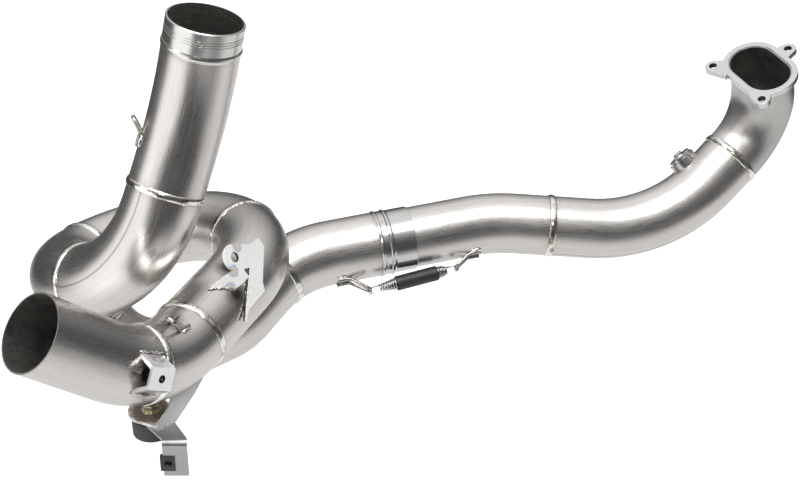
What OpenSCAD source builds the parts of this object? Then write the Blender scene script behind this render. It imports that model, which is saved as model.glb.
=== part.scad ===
// Motorcycle exhaust header: a front and a rear primary that join into one looped outlet pipe.
// Millimetres. The origin is the centre of the front port's bolt circle on the gasket face.
// +X points to the front of the bike, +Y away from the side that shows, +Z up.

/* [Pipes] */
// Outer diameter of the rear primary, the loop and the outlet
main_od = 60; // [58:0.5:61]
// Outer diameter of the front primary up to the slip joint
front_od = 54; // [53:0.25:54.5]
// Outer diameter of the front primary behind the slip joint
cross_od = 57; // [56.5:0.25:58]
// Wall of every bent tube
tube_wall = 1.2; // [1:0.1:1.3]

/* [Welds] */
// Height of a weld bead above the tube
bead_h = 0.9; // [0.5:0.1:1.4]
// Width of a weld bead along the tube
bead_w = 3.4; // [2.4:0.2:5]
// Width of the heavier bead under the inlet collar
collar_bead_w = 5.4; // [4:0.2:7]

/* [Front port] */
// Bolt circle of the port flange
flange_pcd = 77; // [75:0.5:80]
// Bolts in the port flange
flange_bolts = 3; // [3:1:3]
// Bolt hole in the port flange
flange_hole = 6.6; // [5.5:0.1:7]
// Thickness of the port flange
flange_t = 5; // [4:0.5:7]
// Radius of the ear round each bolt hole
ear_r = 7.2; // [6:0.2:8]
// Rim of the flange round the port tube
port_rim = 5; // [4:0.5:6]
// Outer length of the oblong port tube
port_long = 66; // [62:1:68]
// Outer width of the oblong port tube
port_wide = 42; // [40:0.5:44]
// How far the port tube stops below the gasket face
port_recess = 1; // [0.5:0.1:2]
// Length over which the oblong port becomes round
port_blend = 78; // [60:1:84]

/* [Rear inlet collar] */
// Length of the machined collar
collar_len = 21; // [18:0.5:22]
// Wall of the collar
collar_wall = 1.5; // [1.2:0.1:2]
// Depth of the fine grooves round the collar
groove_d = 0.4; // [0.2:0.1:0.6]
// Width of each groove
groove_w = 0.8; // [0.5:0.1:1]

/* [Slip joint] */
// Radial clearance of the slip joint
slip_gap = 0.15; // [0.1:0.05:0.2]
// Wall of the socket band
socket_wall = 1.1; // [0.9:0.1:1.2]
// Length of the socket from its mouth to its weld
socket_len = 30; // [26:1:34]
// Length of front tube inside the socket
slip_depth = 21; // [16:1:22]
// Height of the lip where the socket meets its tube
socket_lip = 0.8; // [0.4:0.1:1.2]

/* [Spring and hooks] */
// Diameter of the hook wire
hook_wire = 3; // [2.6:0.1:3.4]
// Width of a hook at its feet
hook_span = 12; // [10:0.5:14]
// Width of a hook at its crown
hook_crown = 7.6; // [7:0.2:9]
// Wire diameter of the joint spring
spring_wire = 1.8; // [1.4:0.1:2]
// Outer diameter of the joint spring
spring_od = 11; // [10:0.5:12]
// Turns of the joint spring
spring_turns = 27; // [20:1:29]
// Wall of the sleeve on the spring
sleeve_wall = 0.9; // [0.7:0.1:1.2]
// Length of the sleeve on the spring
sleeve_len = 38; // [30:1:44]

/* [Sensor bung] */
// Outer diameter of the bung
bung_od = 25; // [23:0.5:27]
// Thread diameter of the bung
bung_thread = 18; // [16:0.5:19]
// Height of the bung above the tube
bung_h = 5; // [4:0.5:8]
// Diameter of the plug's head
plug_head = 22; // [21:0.5:23]
// Thickness of the plug's head
plug_head_t = 3; // [2:0.5:4]

/* [Brackets] */
// Sheet thickness of the brackets
sheet_t = 2.5; // [2:0.1:2.8]
// Hole in the gusset bracket
gusset_hole = 8; // [6:0.5:9]
// Radius of the round end of the gusset bracket
gusset_lobe = 10.5; // [10:0.5:12]
// Length of the nut bracket along the pipe
nut_bracket_w = 22; // [20:0.5:26]
// Height of the nut bracket above the pipe
nut_bracket_h = 12; // [11:0.5:14]
// Thread hole of the nut bracket and of its nut
bracket_thread = 6; // [5:0.5:6.5]
// Width across flats of the weld nut
weld_nut_af = 12; // [10:0.5:12.5]
// Thickness of the weld nut
weld_nut_t = 5; // [4:0.5:5.5]

/* [Hanger] */
// Diameter of the rubber mount
rubber_d = 30.6; // [28:0.2:32]
// Height of the rubber mount
rubber_h = 15; // [12:0.5:18]
// Stud of the rubber mount and thread in its lower end
stud_d = 6; // [5:0.5:6.5]
// Thickness of the plates bonded into the rubber
plate_t = 2.5; // [2:0.1:3]
// Depth of the thread in the rubber's lower end
insert_depth = 7; // [6:0.5:8]
// Width across flats of the nut on the stud
mount_nut_af = 10; // [9:0.5:11]
// Sheet thickness of the clip bracket
clip_sheet = 2; // [1.6:0.1:2.4]
// Width of the clip bracket
clip_w = 18.5; // [16:0.5:20]
// Height of the clip bracket's upright flange
clip_drop = 31; // [28:1:34]
// Thread of the clip nut
clip_thread = 5; // [4:0.5:5]
// Length of the clip nut's threaded hub
clip_hub = 5; // [4:0.5:7]

/* [Hidden] */
$fn = 96;

// Colours of the finishes
STEEL = [0.72, 0.71, 0.69];
BRIGHT = [0.82, 0.82, 0.83];
TITANIUM = [0.66, 0.65, 0.63];
BLACK = [0.12, 0.12, 0.13];
RUBBER = [0.2, 0.2, 0.21];

// Overlap of a cutting solid past the face that it cuts
cut = 1;
// Shortest piece of pipe that is drawn
tiny = 0.01;
// Reach of a straight piece into the bends beside it
joint_reach = 0.6;
// How much thinner a straight piece's wall is on each side, so that it ends inside the bend's wall
joint_step = 0.1;
// Room under the free half of a weld bead
bead_seat = 0.08;
// Depth to which a bead is rooted in its own tube
bead_root = 0.3;

// Vectors and frames
function unit(v) = v / norm(v);
function xyz(row) = [row[0], row[1], row[2]];
module place(p, x, y, z) {
    multmatrix([[x.x, y.x, z.x, p.x], [x.y, y.y, z.y, p.y], [x.z, y.z, z.z, p.z], [0, 0, 0, 1]])
        children();
}

// A route is a list of rows [x, y, z, bend radius]: straight legs with a round bend at each corner.
// A station is the distance along the centre line from the route's first point.
function leg_dir(r, i) = unit(xyz(r[i + 1]) - xyz(r[i]));
function bend_angle(r, i) = i <= 0 || i >= len(r) - 1 ? 0 : acos(leg_dir(r, i - 1) * leg_dir(r, i));
function setback(r, i) = r[i][3] * tan(bend_angle(r, i) / 2);
function leg_len(r, i) = norm(xyz(r[i + 1]) - xyz(r[i])) - setback(r, i) - setback(r, i + 1);
function bend_len(r, i) = r[i][3] * bend_angle(r, i) * PI / 180;
function leg_start(r, i) = i == 0 ? 0 : leg_start(r, i - 1) + leg_len(r, i - 1) + bend_len(r, i);
function route_len(r) = leg_start(r, len(r) - 2) + leg_len(r, len(r) - 2);
function on_leg(r, i, share) = leg_start(r, i) + share * leg_len(r, i);
function on_bend(r, i, share) = leg_start(r, i) - (1 - share) * bend_len(r, i);
// Towards the inside of a bend, at its start and at its end
function bend_in(r, i) = let (a = leg_dir(r, i - 1), b = leg_dir(r, i)) unit(b - a * (a * b));
function bend_out(r, i) = let (a = leg_dir(r, i - 1), b = leg_dir(r, i)) unit(b * (a * b) - a);
function bend_start_point(r, i) = xyz(r[i]) - leg_dir(r, i - 1) * setback(r, i);
function side_of(t) = unit(abs(t.z) < 0.9 ? cross(t, [0, 0, 1]) : cross(t, [0, 1, 0]));
function leg_of(r, s, i = 0) = i >= len(r) - 2 || s <= leg_start(r, i + 1) ? i : leg_of(r, s, i + 1);
function leg_place(r, i, d) = [xyz(r[i]) + leg_dir(r, i) * (setback(r, i) + d), leg_dir(r, i)];
function bend_place(r, i, a) =
    let (t = leg_dir(r, i - 1), n = bend_in(r, i), rad = r[i][3])
    [bend_start_point(r, i) + n * rad * (1 - cos(a)) + t * rad * sin(a), t * cos(a) + n * sin(a)];
// Point and flow direction at a station
function at(r, s) =
    let (i = leg_of(r, s), d = s - leg_start(r, i), over = d - leg_len(r, i))
    over <= 0 || i == len(r) - 2 ? leg_place(r, i, d) : bend_place(r, i + 1, over / r[i + 1][3] * 180 / PI);
// Direction out of the pipe at a station: clock 0 is as far up as it goes, turning round the flow
function outward(r, s, clock) =
    let (t = at(r, s)[1], x = unit([0, 0, 1] - t * t.z)) x * cos(clock) + cross(t, x) * sin(clock);

// Frame with z along the flow at a station
module along(r, s) {
    t = at(r, s)[1];
    x = side_of(t);
    place(at(r, s)[0], x, cross(t, x), t) children();
}

// Frame on the pipe's skin: x along the flow, z straight out of the pipe
module on_tube(r, s, clock, od) {
    t = at(r, s)[1];
    n = outward(r, s, clock);
    place(at(r, s)[0] + n * od / 2, t, cross(n, t), n) children();
}

module ring_section(od, id) {
    difference() {
        circle(d = od);
        if (id > 0) circle(d = id);
    }
}

// Pipe or rod between two stations of a route, made of straight and bent pieces
module stretch(r, from, to, od, id = 0) {
    last = len(r) - 2;
    for (i = [0 : last]) {
        a = i == 0 ? from : max(from, leg_start(r, i));
        b = i == last ? to : min(to, leg_start(r, i) + leg_len(r, i));
        if (b - a > tiny) {
            t = leg_dir(r, i);
            x = i > 0 ? -bend_out(r, i) : side_of(t);
            lo = a - min(joint_reach, (a - from) / 2);
            hi = b + min(joint_reach, (to - b) / 2);
            place(leg_place(r, i, lo - leg_start(r, i))[0], x, cross(t, x), t)
                linear_extrude(height = hi - lo)
                    ring_section(od - 2 * joint_step, id > 0 ? id + 2 * joint_step : 0);
        }
        if (i > 0) {
            begin = leg_start(r, i) - bend_len(r, i);
            c = max(from, begin);
            d = min(to, leg_start(r, i));
            if (d - c > tiny) bent_piece(r, i, (c - begin) / bend_len(r, i), (d - begin) / bend_len(r, i), od, id);
        }
    }
}

module bent_piece(r, i, share0, share1, od, id) {
    rad = r[i][3];
    t = leg_dir(r, i - 1);
    x = -bend_in(r, i);
    place(bend_start_point(r, i) - x * rad, x, t, cross(x, t))
        rotate([0, 0, share0 * bend_angle(r, i)])
            rotate_extrude(angle = (share1 - share0) * bend_angle(r, i))
                translate([rad, 0]) ring_section(od, id);
}

// Weld bead at a station: rooted in the tube before it, laid over the tube after it
module bead(r, s, od, w = bead_w) {
    skin = od / 2;
    along(r, s) rotate_extrude() polygon([
        [skin - bead_root, -w / 2], [skin + 0.3 * bead_h, -w / 2], [skin + 0.8 * bead_h, -w / 4],
        [skin + bead_h, 0], [skin + 0.8 * bead_h, w / 4], [skin + 0.3 * bead_h, w / 2],
        [skin + bead_seat, w / 2], [skin + bead_seat, 0], [skin - bead_root, 0]]);
}

// One length of pipe with the bead at its downstream end
module pipe(r, from, to, od, w = bead_w) {
    stretch(r, from, to, od, od - 2 * tube_wall);
    bead(r, to, od, w);
}

// Rear primary, loop and outlet: corners of the centre line and the radius of each bend
REAR = [
    [-455, -194, 128, 0],
    [-470, -195, 58, 250],
    [-514, -243, -68, 92],
    [-620, -165, -116, 60],
    [-528, -82, -114, 76],
    [-399, -128, -79, 79],
    [-497, -317, -107, 91],
    [-568, -370, -33, 0]];
COLLAR_END = collar_len;
INLET_END = on_leg(REAR, 1, 0.7);
REAR_END = on_leg(REAR, 2, 0.5);
LOOP_END = on_bend(REAR, 3, 0.83);
BACK_END = on_bend(REAR, 5, 0.42);
CROWN_END = on_leg(REAR, 5, 0.9);
ELBOW_END = on_bend(REAR, 6, 0.57);
OUTLET_END = route_len(REAR);
// Where the branch from the front cylinder meets the loop's centre line
MERGE = on_bend(REAR, 3, 0.2);

// Front port: the gasket face looks along PORT_AXIS, the oblong tube lies off the bolt circle's centre
PORT_AXIS = unit([-28, -25, 93]);
PORT_X = unit([1, 0, 0] - PORT_AXIS * PORT_AXIS.x);
PORT_Y = cross(PORT_AXIS, PORT_X);
PORT_OFFSET = [5.5, 2.8];
PORT_TURN = 115.5;
FIRST_BOLT = 151;
PORT_CENTRE = PORT_X * PORT_OFFSET.x + PORT_Y * PORT_OFFSET.y;
PORT_CORNER = PORT_CENTRE - PORT_AXIS * 60.4;

// Front primary: corners of the centre line and the radius of each bend
FRONT = [
    concat(PORT_CENTRE, [0]),
    concat(PORT_CORNER, [58]),
    [-78, -43, -140, 140],
    [-231, -46, -127, 150],
    [-410, -94, -139, 100],
    [-453, -153, -165, 64],
    [-533, -207, -175, 58],
    concat(at(REAR, MERGE)[0], [0])];
PORT_END = on_leg(FRONT, 1, 0.2);
FRONT_BEND_END = on_leg(FRONT, 2, 0.53);
SOCKET_END = on_leg(FRONT, 3, 0.66);
SOCKET_MOUTH = SOCKET_END - socket_len;
SPIGOT_END = SOCKET_MOUTH + slip_depth;
CROSS_END = on_bend(FRONT, 4, 0.7);
BRANCH_CUT = on_leg(FRONT, 6, 0.1);
BRANCH_END = route_len(FRONT);

// Stations and clock angles of what is welded on
BUNG_AT = [on_bend(FRONT, 2, 0.03), 39];
FRONT_HOOK_AT = [on_leg(FRONT, 3, 0.03), -128];
REAR_HOOK_AT = [on_leg(FRONT, 3, 0.935), -128];
INLET_HOOK_AT = [on_bend(REAR, 1, 0.86), 40];
ELBOW_HOOK_AT = [on_bend(REAR, 6, 0.26), -18];
GUSSET_AT = [on_leg(REAR, 5, 0.24), -59];
NUT_BRACKET_AT = [on_bend(REAR, 6, 0.78), -80];

// Front port flange

// Two circles of radius rad with their centres len apart, joined along x
module oblong(len, rad) {
    for (side = [-1, 1]) translate([side * len / 2, 0]) circle(r = rad);
    square([len, 2 * rad], center = true);
}

module in_port_plane() {
    translate(PORT_OFFSET) rotate(PORT_TURN) children();
}

module flange_bolts() {
    for (i = [0 : flange_bolts - 1]) rotate(FIRST_BOLT + i * 360 / flange_bolts) translate([flange_pcd / 2, 0]) children();
}

module port_flange() {
    straight = port_long - port_wide;
    neck = 16;
    color(BRIGHT) place([0, 0, 0], PORT_X, PORT_Y, PORT_AXIS) translate([0, 0, -flange_t]) difference() {
        linear_extrude(flange_t) union() {
            in_port_plane() oblong(straight, port_wide / 2 + port_rim);
            for (i = [0 : flange_bolts - 1]) rotate(FIRST_BOLT + i * 360 / flange_bolts) hull() {
                translate([flange_pcd / 2, 0]) circle(r = ear_r, $fn = 40);
                translate([flange_pcd / 2 - neck, 0]) square([1, 3 * ear_r], center = true);
            }
        }
        translate([0, 0, -cut]) linear_extrude(flange_t + 2 * cut) in_port_plane() oblong(straight, port_wide / 2);
        flange_bolts() translate([0, 0, -cut]) cylinder(d = flange_hole, h = flange_t + 2 * cut);
    }
}

// Port tube: an oblong section that turns round while the pipe bends

PORT_SIDES = 44;
PORT_STEPS = 22;
// Angle of the oblong's long side from the normal of the first bend's plane
PORT_NORMAL = unit(cross(leg_dir(FRONT, 0), leg_dir(FRONT, 1)));
PORT_LONG_DIR = PORT_X * cos(PORT_TURN) + PORT_Y * sin(PORT_TURN);
PORT_LONG_ANGLE = atan2(PORT_LONG_DIR * cross(leg_dir(FRONT, 0), PORT_NORMAL), PORT_LONG_DIR * PORT_NORMAL);
// Share of the oblong form that is left at share u of the blend
function oblong_left(u) = (1 + cos(180 * u)) / 2;
function blend_radius(u) = (port_wide * oblong_left(u) + front_od * (1 - oblong_left(u))) / 2;
function blend_straight(u) = (port_long - port_wide) * oblong_left(u);
function blend_point(u, a, wall) =
    [sign(cos(a)) * blend_straight(u) / 2, 0] + (blend_radius(u) - wall) * [cos(a), sin(a)];
function blend_ring(u, wall) =
    let (s = port_recess + u * (port_blend - port_recess), p = at(FRONT, s), y = cross(p[1], PORT_NORMAL),
        ca = cos(PORT_LONG_ANGLE), sa = sin(PORT_LONG_ANGLE))
    [for (k = [0 : PORT_SIDES - 1])
        let (q = blend_point(u, (k + 0.5) * 360 / PORT_SIDES, wall))
        p[0] + PORT_NORMAL * (q.x * ca - q.y * sa) + y * (q.x * sa + q.y * ca)];

// Closed skin between rings of points: outer rings forward, inner rings back, then closed on itself
module ring_skin(rings) {
    n = len(rings[0]);
    m = len(rings);
    polyhedron(
        points = [for (ring = rings) each ring],
        faces = [for (j = [0 : m - 1], k = [0 : n - 1])
            let (a = j * n + k, b = j * n + (k + 1) % n, c = ((j + 1) % m) * n + (k + 1) % n, d = ((j + 1) % m) * n + k)
            each [[a, b, c], [a, c, d]]]);
}

module port_bend() {
    // The faceted skin ends inside the wall of the round pipe
    skin_step = 0.12;
    color(TITANIUM) {
        ring_skin(concat(
            [for (j = [0 : PORT_STEPS]) blend_ring(j / PORT_STEPS, tube_wall - skin_step)],
            [for (j = [PORT_STEPS : -1 : 0]) blend_ring(j / PORT_STEPS, skin_step)]));
        pipe(FRONT, port_blend - 2 * skin_step, PORT_END, front_od);
    }
}

// Front primary

module bung_frame() {
    on_tube(FRONT, BUNG_AT[0], BUNG_AT[1], front_od) children();
}

module front_bend() {
    color(TITANIUM) difference() {
        pipe(FRONT, PORT_END, FRONT_BEND_END, front_od);
        bung_frame() translate([0, 0, -front_od / 4]) cylinder(d = bung_thread, h = front_od / 2);
    }
}

module sensor_bung() {
    color(STEEL) difference() {
        bung_frame() translate([0, 0, -4]) difference() {
            cylinder(d = bung_od, h = bung_h + 4);
            translate([0, 0, -cut]) cylinder(d = bung_thread, h = bung_h + 4 + 2 * cut);
        }
        stretch(FRONT, BUNG_AT[0] - bung_od, BUNG_AT[0] + bung_od, front_od);
    }
}

module sensor_plug() {
    shank = bung_h + 3;
    color(BRIGHT) bung_frame() translate([0, 0, bung_h]) {
        translate([0, 0, -shank]) cylinder(d = bung_thread - 0.2, h = shank);
        cylinder(d = plug_head, h = plug_head_t);
        translate([0, 0, plug_head_t]) cylinder(d = plug_head / 2.4, h = plug_head_t, $fn = 6);
    }
}

module front_tube() {
    color(TITANIUM) stretch(FRONT, FRONT_BEND_END, SPIGOT_END, front_od, front_od - 2 * tube_wall);
}

// Turned sleeve that takes the front tube and is welded to the cross bend
module slip_socket() {
    bore = front_od / 2 + slip_gap;
    band = bore + socket_wall;
    skin = cross_od / 2;
    inside = skin - tube_wall;
    lip_from = socket_len - 9;
    color(STEEL) {
        along(FRONT, SOCKET_MOUTH) rotate_extrude() polygon([
            [bore, 0], [band - 0.3, 0], [band, 0.3], [band, lip_from - 2], [skin + socket_lip, lip_from],
            [skin + socket_lip, lip_from + 1.6], [skin, lip_from + 2.4], [skin, socket_len],
            [inside, socket_len], [inside, slip_depth + 2], [bore, slip_depth + 1]]);
        bead(FRONT, SOCKET_END, cross_od);
    }
}

module cross_bend() {
    color(TITANIUM) pipe(FRONT, SOCKET_END, CROSS_END, cross_od);
}

module under_bend() {
    color(TITANIUM) pipe(FRONT, CROSS_END, BRANCH_CUT, cross_od);
}

// Rear primary, loop and outlet

// Loop bend with the branch from the front cylinder let into it
module collector() {
    color(TITANIUM) {
        difference() {
            union() {
                stretch(REAR, REAR_END, LOOP_END, main_od);
                stretch(FRONT, BRANCH_CUT, BRANCH_END, cross_od);
            }
            stretch(REAR, REAR_END, LOOP_END, main_od - 2 * tube_wall);
            stretch(FRONT, BRANCH_CUT - cut, BRANCH_END, cross_od - 2 * tube_wall);
        }
        bead(REAR, LOOP_END, main_od);
    }
}

module back_tube() {
    color(TITANIUM) pipe(REAR, LOOP_END, BACK_END, main_od);
}

module crown_bend() {
    color(TITANIUM) pipe(REAR, BACK_END, CROWN_END, main_od);
}

module outlet_elbow() {
    color(TITANIUM) pipe(REAR, CROWN_END, ELBOW_END, main_od);
}

module outlet_bend() {
    color(TITANIUM) stretch(REAR, ELBOW_END, OUTLET_END, main_od, main_od - 2 * tube_wall);
}

module inlet_collar() {
    skin = main_od / 2;
    chamfer = 0.5;
    grooves = 3;
    first_groove = 6;
    groove_pitch = 2;
    groove_edge = [for (i = [0 : grooves - 1], end = [0, 1], deep = end == 0 ? [0, 1] : [1, 0])
        [skin - deep * groove_d, first_groove + i * groove_pitch + end * groove_w]];
    color(STEEL) {
        along(REAR, 0) rotate_extrude() polygon(concat(
            [[skin - collar_wall, 0], [skin - chamfer, 0], [skin, chamfer]],
            groove_edge,
            [[skin, collar_len], [skin - collar_wall, collar_len]]));
        bead(REAR, COLLAR_END, main_od, collar_bead_w);
    }
}

module inlet_tube() {
    color(TITANIUM) pipe(REAR, COLLAR_END, INLET_END, main_od);
}

module rear_bend() {
    color(TITANIUM) pipe(REAR, INLET_END, REAR_END, main_od);
}

// Spring hooks: wire loops welded on by two feet, their crown raised towards the spring

// Centre line of a hook in the frame of the pipe's skin
function hook_route(reach, rise, way, od) =
    let (foot_z = hook_wire / 2 - pow(hook_span / 2, 2) / od - 0.2, foot = 8, s = hook_span / 2, c = hook_crown / 2)
    [[-way * foot, -s, foot_z, 0], [way * 3, -s + 0.5, foot_z, 4], [way * reach, -c, rise, c - 0.2],
        [way * reach, c, rise, c - 0.2], [way * 3, s - 0.5, foot_z, 4], [-way * foot, s, foot_z, 0]];

module hook(r, place_on, od, reach, rise, way) {
    line = hook_route(reach, rise, way, od);
    color(STEEL) difference() {
        on_tube(r, place_on[0], place_on[1], od) stretch(line, 0, route_len(line), hook_wire, $fn = 24);
        stretch(r, place_on[0] - 16, place_on[0] + 16, od);
    }
}

FRONT_HOOK_REACH = 17;
FRONT_HOOK_RISE = 9.5;
REAR_HOOK_REACH = 19;
REAR_HOOK_RISE = 13;

module inlet_hook() {
    hook(REAR, INLET_HOOK_AT, main_od, 12, 9, -1);
}

module elbow_hook() {
    hook(REAR, ELBOW_HOOK_AT, main_od, 10, 11, 1);
}

module slip_hook_front() {
    hook(FRONT, FRONT_HOOK_AT, front_od, FRONT_HOOK_REACH, FRONT_HOOK_RISE, 1);
}

module slip_hook_rear() {
    hook(FRONT, REAR_HOOK_AT, cross_od, REAR_HOOK_REACH, REAR_HOOK_RISE, -1);
}

// Joint spring between the crowns of the two slip hooks, wound as one wire

// Centre of a hook's crown
function crown_point(r, place_on, od, reach, rise) =
    at(r, place_on[0])[0] + outward(r, place_on[0], place_on[1]) * (od / 2 + rise) + at(r, place_on[0])[1] * reach;
SPRING_FROM = crown_point(FRONT, FRONT_HOOK_AT, front_od, FRONT_HOOK_REACH, FRONT_HOOK_RISE);
SPRING_TO = crown_point(FRONT, REAR_HOOK_AT, cross_od, -REAR_HOOK_REACH, REAR_HOOK_RISE);
SPRING_LEN = norm(SPRING_TO - SPRING_FROM);
EYE_R = (hook_wire + spring_wire) / 2 + 0.15;
COIL_R = (spring_od - spring_wire) / 2;
COIL_START = 8;
COIL_LEN = SPRING_LEN - 2 * COIL_START;
FRONT_TAPER = 2;
REAR_TAPER = 6;
TURN_STEPS = 12;
WIRE_SIDES = 6;

function coil_radius(turn) =
    let (near = min(1, turn / FRONT_TAPER), far = min(1, (spring_turns - turn) / REAR_TAPER))
    EYE_R + (COIL_R - EYE_R) * min(near, far);
// Centre line of the wire: an eye, the coil, an eye; x runs along the spring
SPRING_LINE = concat(
    [for (a = [-60 : -30 : -240]) [EYE_R * cos(a), EYE_R * sin(a), 0]],
    [for (k = [0 : spring_turns * TURN_STEPS])
        let (turn = k / TURN_STEPS, a = 90 + 360 * turn)
        [COIL_START + COIL_LEN * turn / spring_turns, coil_radius(turn) * sin(a), coil_radius(turn) * cos(a)]],
    [for (a = [60 : -30 : -120]) [SPRING_LEN + EYE_R * cos(a), EYE_R * sin(a), 0]]);

// Directions of a line of points, and a side vector carried along it without twist
function line_dirs(p) = [for (i = [0 : len(p) - 1]) unit(p[min(i + 1, len(p) - 1)] - p[max(i - 1, 0)])];
function square_to(v, t) = unit(v - t * (v * t));
function carried_sides(t) =
    [for (i = 0, v = square_to([0, 0, 1], t[0]); i < len(t); i = i + 1, v = i < len(t) ? square_to(v, t[i]) : v) v];

module swept_wire(p, d, sides) {
    t = line_dirs(p);
    v = carried_sides(t);
    n = sides;
    rings = len(p);
    polyhedron(
        points = [for (i = [0 : rings - 1], k = [0 : n - 1])
            p[i] + (v[i] * cos(360 * k / n) + cross(t[i], v[i]) * sin(360 * k / n)) * d / 2],
        faces = concat(
            [[for (k = [n - 1 : -1 : 0]) k]],
            [for (i = [0 : rings - 2], k = [0 : n - 1])
                let (a = i * n + k, b = i * n + (k + 1) % n)
                each [[a, b, b + n], [a, b + n, a + n]]],
            [[for (k = [0 : n - 1]) (rings - 1) * n + k]]));
}

module spring_frame() {
    x = unit(SPRING_TO - SPRING_FROM);
    up = outward(FRONT, FRONT_HOOK_AT[0], FRONT_HOOK_AT[1]);
    y = unit(up - x * (up * x));
    place(SPRING_FROM, x, y, cross(x, y)) children();
}

module joint_spring() {
    color(BRIGHT) spring_frame() swept_wire([for (q = SPRING_LINE) [q.x, -q.y, q.z]], spring_wire, WIRE_SIDES);
}

module spring_sleeve() {
    start = COIL_START + 0.15 * COIL_LEN;
    bore = spring_od + 0.4;
    color(BLACK) spring_frame() translate([start, 0, 0]) rotate([0, 90, 0]) difference() {
        cylinder(d = bore + 2 * sleeve_wall, h = sleeve_len);
        translate([0, 0, -cut]) cylinder(d = bore, h = sleeve_len + 2 * cut);
    }
}

// Gusset bracket: a flat plate laid against the pipe with a round lug that stands clear,
// held up by a tongue bent down to the pipe

module gusset_plate() {
    lug = [-3, -28.5];
    hull() {
        translate(lug) circle(r = gusset_lobe, $fn = 48);
        translate([-22, -20]) circle(r = 6, $fn = 24);
        translate([-12, -16]) circle(r = 3, $fn = 24);
    }
    polygon([[-20, -26], [-34.5, -25.5], [-35.5, -17.5], [-13, 2.5], [-9.5, 9], [14.5, 9.5], [24, 14.5],
        [10.5, 2], [-11, -14]]);
}

module gusset_bracket() {
    lug = [-3, -28.5];
    color(BRIGHT) difference() {
        on_tube(REAR, GUSSET_AT[0], GUSSET_AT[1], main_od) difference() {
            union() {
                translate([0, 0, -0.3]) linear_extrude(sheet_t) gusset_plate();
                translate([0, -9, -0.3]) rotate([90, 0, 0]) linear_extrude(13) polygon([
                    [-4, 0], [-4, sheet_t], [5, sheet_t], [27, -9], [25, -11], [3.5, 0]]);
            }
            translate([lug.x, lug.y, -cut]) cylinder(d = gusset_hole, h = sheet_t + 2 * cut);
        }
        stretch(REAR, GUSSET_AT[0] - 45, GUSSET_AT[0] + 40, main_od);
    }
}

// Nut bracket: a hat-shaped strap on the outlet bend with a nut welded behind its face

NUT_FACE = 8.5;
module nut_bracket() {
    spread = 15;
    color(BRIGHT) difference() {
        on_tube(REAR, NUT_BRACKET_AT[0], NUT_BRACKET_AT[1], main_od) difference() {
            translate([-nut_bracket_w / 2, 0, 0]) rotate([90, 0, 90]) linear_extrude(nut_bracket_w) polygon([
                [-spread, -5], [-NUT_FACE, nut_bracket_h], [NUT_FACE, nut_bracket_h], [spread, -5],
                [spread - sheet_t, -5], [NUT_FACE - sheet_t, nut_bracket_h - sheet_t],
                [sheet_t - NUT_FACE, nut_bracket_h - sheet_t], [sheet_t - spread, -5]]);
            cylinder(d = bracket_thread, h = nut_bracket_h + cut);
        }
        stretch(REAR, NUT_BRACKET_AT[0] - 25, NUT_BRACKET_AT[0] + 25, main_od);
    }
}

module weld_nut() {
    color(STEEL) on_tube(REAR, NUT_BRACKET_AT[0], NUT_BRACKET_AT[1], main_od)
        translate([0, 0, nut_bracket_h - sheet_t - weld_nut_t]) difference() {
            cylinder(d = weld_nut_af / cos(30), h = weld_nut_t, $fn = 6);
            translate([0, 0, -cut]) cylinder(d = bracket_thread, h = weld_nut_t + 2 * cut);
        }
}

// Hanger: a folded strap under the elbow that carries the rubber mount on its flat

HANGER_AT = [-499, -318.5, -136];
HANGER_FOLD = 21;
HANGER_LEAN = 23;
module hanger_frame() {
    place(HANGER_AT, unit([1, 1, 0]), unit([-1, 1, 0]), [0, 0, 1]) children();
}

module hanger_strap() {
    color(BRIGHT) difference() {
        hanger_frame() {
            translate([0, 0, -sheet_t]) linear_extrude(sheet_t) difference() {
                union() {
                    translate([-0.5, 2]) circle(r = 16);
                    polygon([[-9.5, 0.3 - HANGER_FOLD], [5.5, 0.3 - HANGER_FOLD], [13.4, -5], [0, 2], [-15.2, -3]]);
                }
                circle(d = stud_d + 0.6);
            }
            translate([0, -HANGER_FOLD, -sheet_t]) rotate([90 - HANGER_LEAN, 0, 0])
                translate([0, 0, -sheet_t / 2]) linear_extrude(sheet_t)
                    polygon([[-10, -0.5], [6, -0.5], [30, 13], [46, 25], [40, 29], [14, 24], [4, 12], [-10, 4]]);
        }
        bent_piece(REAR, 6, 0, 0.9, main_od, 0);
    }
}

module mount_stud() {
    color(STEEL) hanger_frame() {
        translate([0, 0, -sheet_t - clip_sheet - 6]) cylinder(d = stud_d, h = sheet_t + clip_sheet + 6 + 8.6);
        translate([0, 0, -sheet_t - clip_sheet - plate_t]) cylinder(d = 24, h = plate_t);
    }
}

module mount_washer() {
    color(STEEL) hanger_frame() difference() {
        cylinder(d = 2.4 * stud_d, h = 1.4);
        translate([0, 0, -cut]) cylinder(d = stud_d + 0.6, h = 1.4 + 2 * cut);
    }
}

module mount_nut() {
    color(STEEL) hanger_frame() translate([0, 0, 1.4]) difference() {
        cylinder(d = mount_nut_af / cos(30), h = 5, $fn = 6);
        translate([0, 0, -cut]) cylinder(d = stud_d, h = 5 + 2 * cut);
    }
}

module rubber_mount() {
    top = -sheet_t - clip_sheet;
    color(RUBBER) hanger_frame() difference() {
        translate([0, 0, top - rubber_h]) cylinder(d = rubber_d, h = rubber_h);
        translate([0, 0, top - plate_t]) cylinder(d = 24, h = plate_t + cut);
        translate([0, 0, top - 6]) cylinder(d = stud_d, h = 6);
        mount_insert_body(0, cut);
    }
}

// Steel plate and hub bonded into the rubber's lower end, with the thread that the frame's screw takes
module mount_insert_body(bore, past = 0) {
    bottom = -sheet_t - clip_sheet - rubber_h;
    translate([0, 0, bottom - past]) difference() {
        union() {
            cylinder(d = 24, h = plate_t + past);
            cylinder(d = 2 * stud_d, h = insert_depth + past);
        }
        if (bore > 0) translate([0, 0, -cut]) cylinder(d = bore, h = insert_depth + 2 * cut);
    }
}

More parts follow.
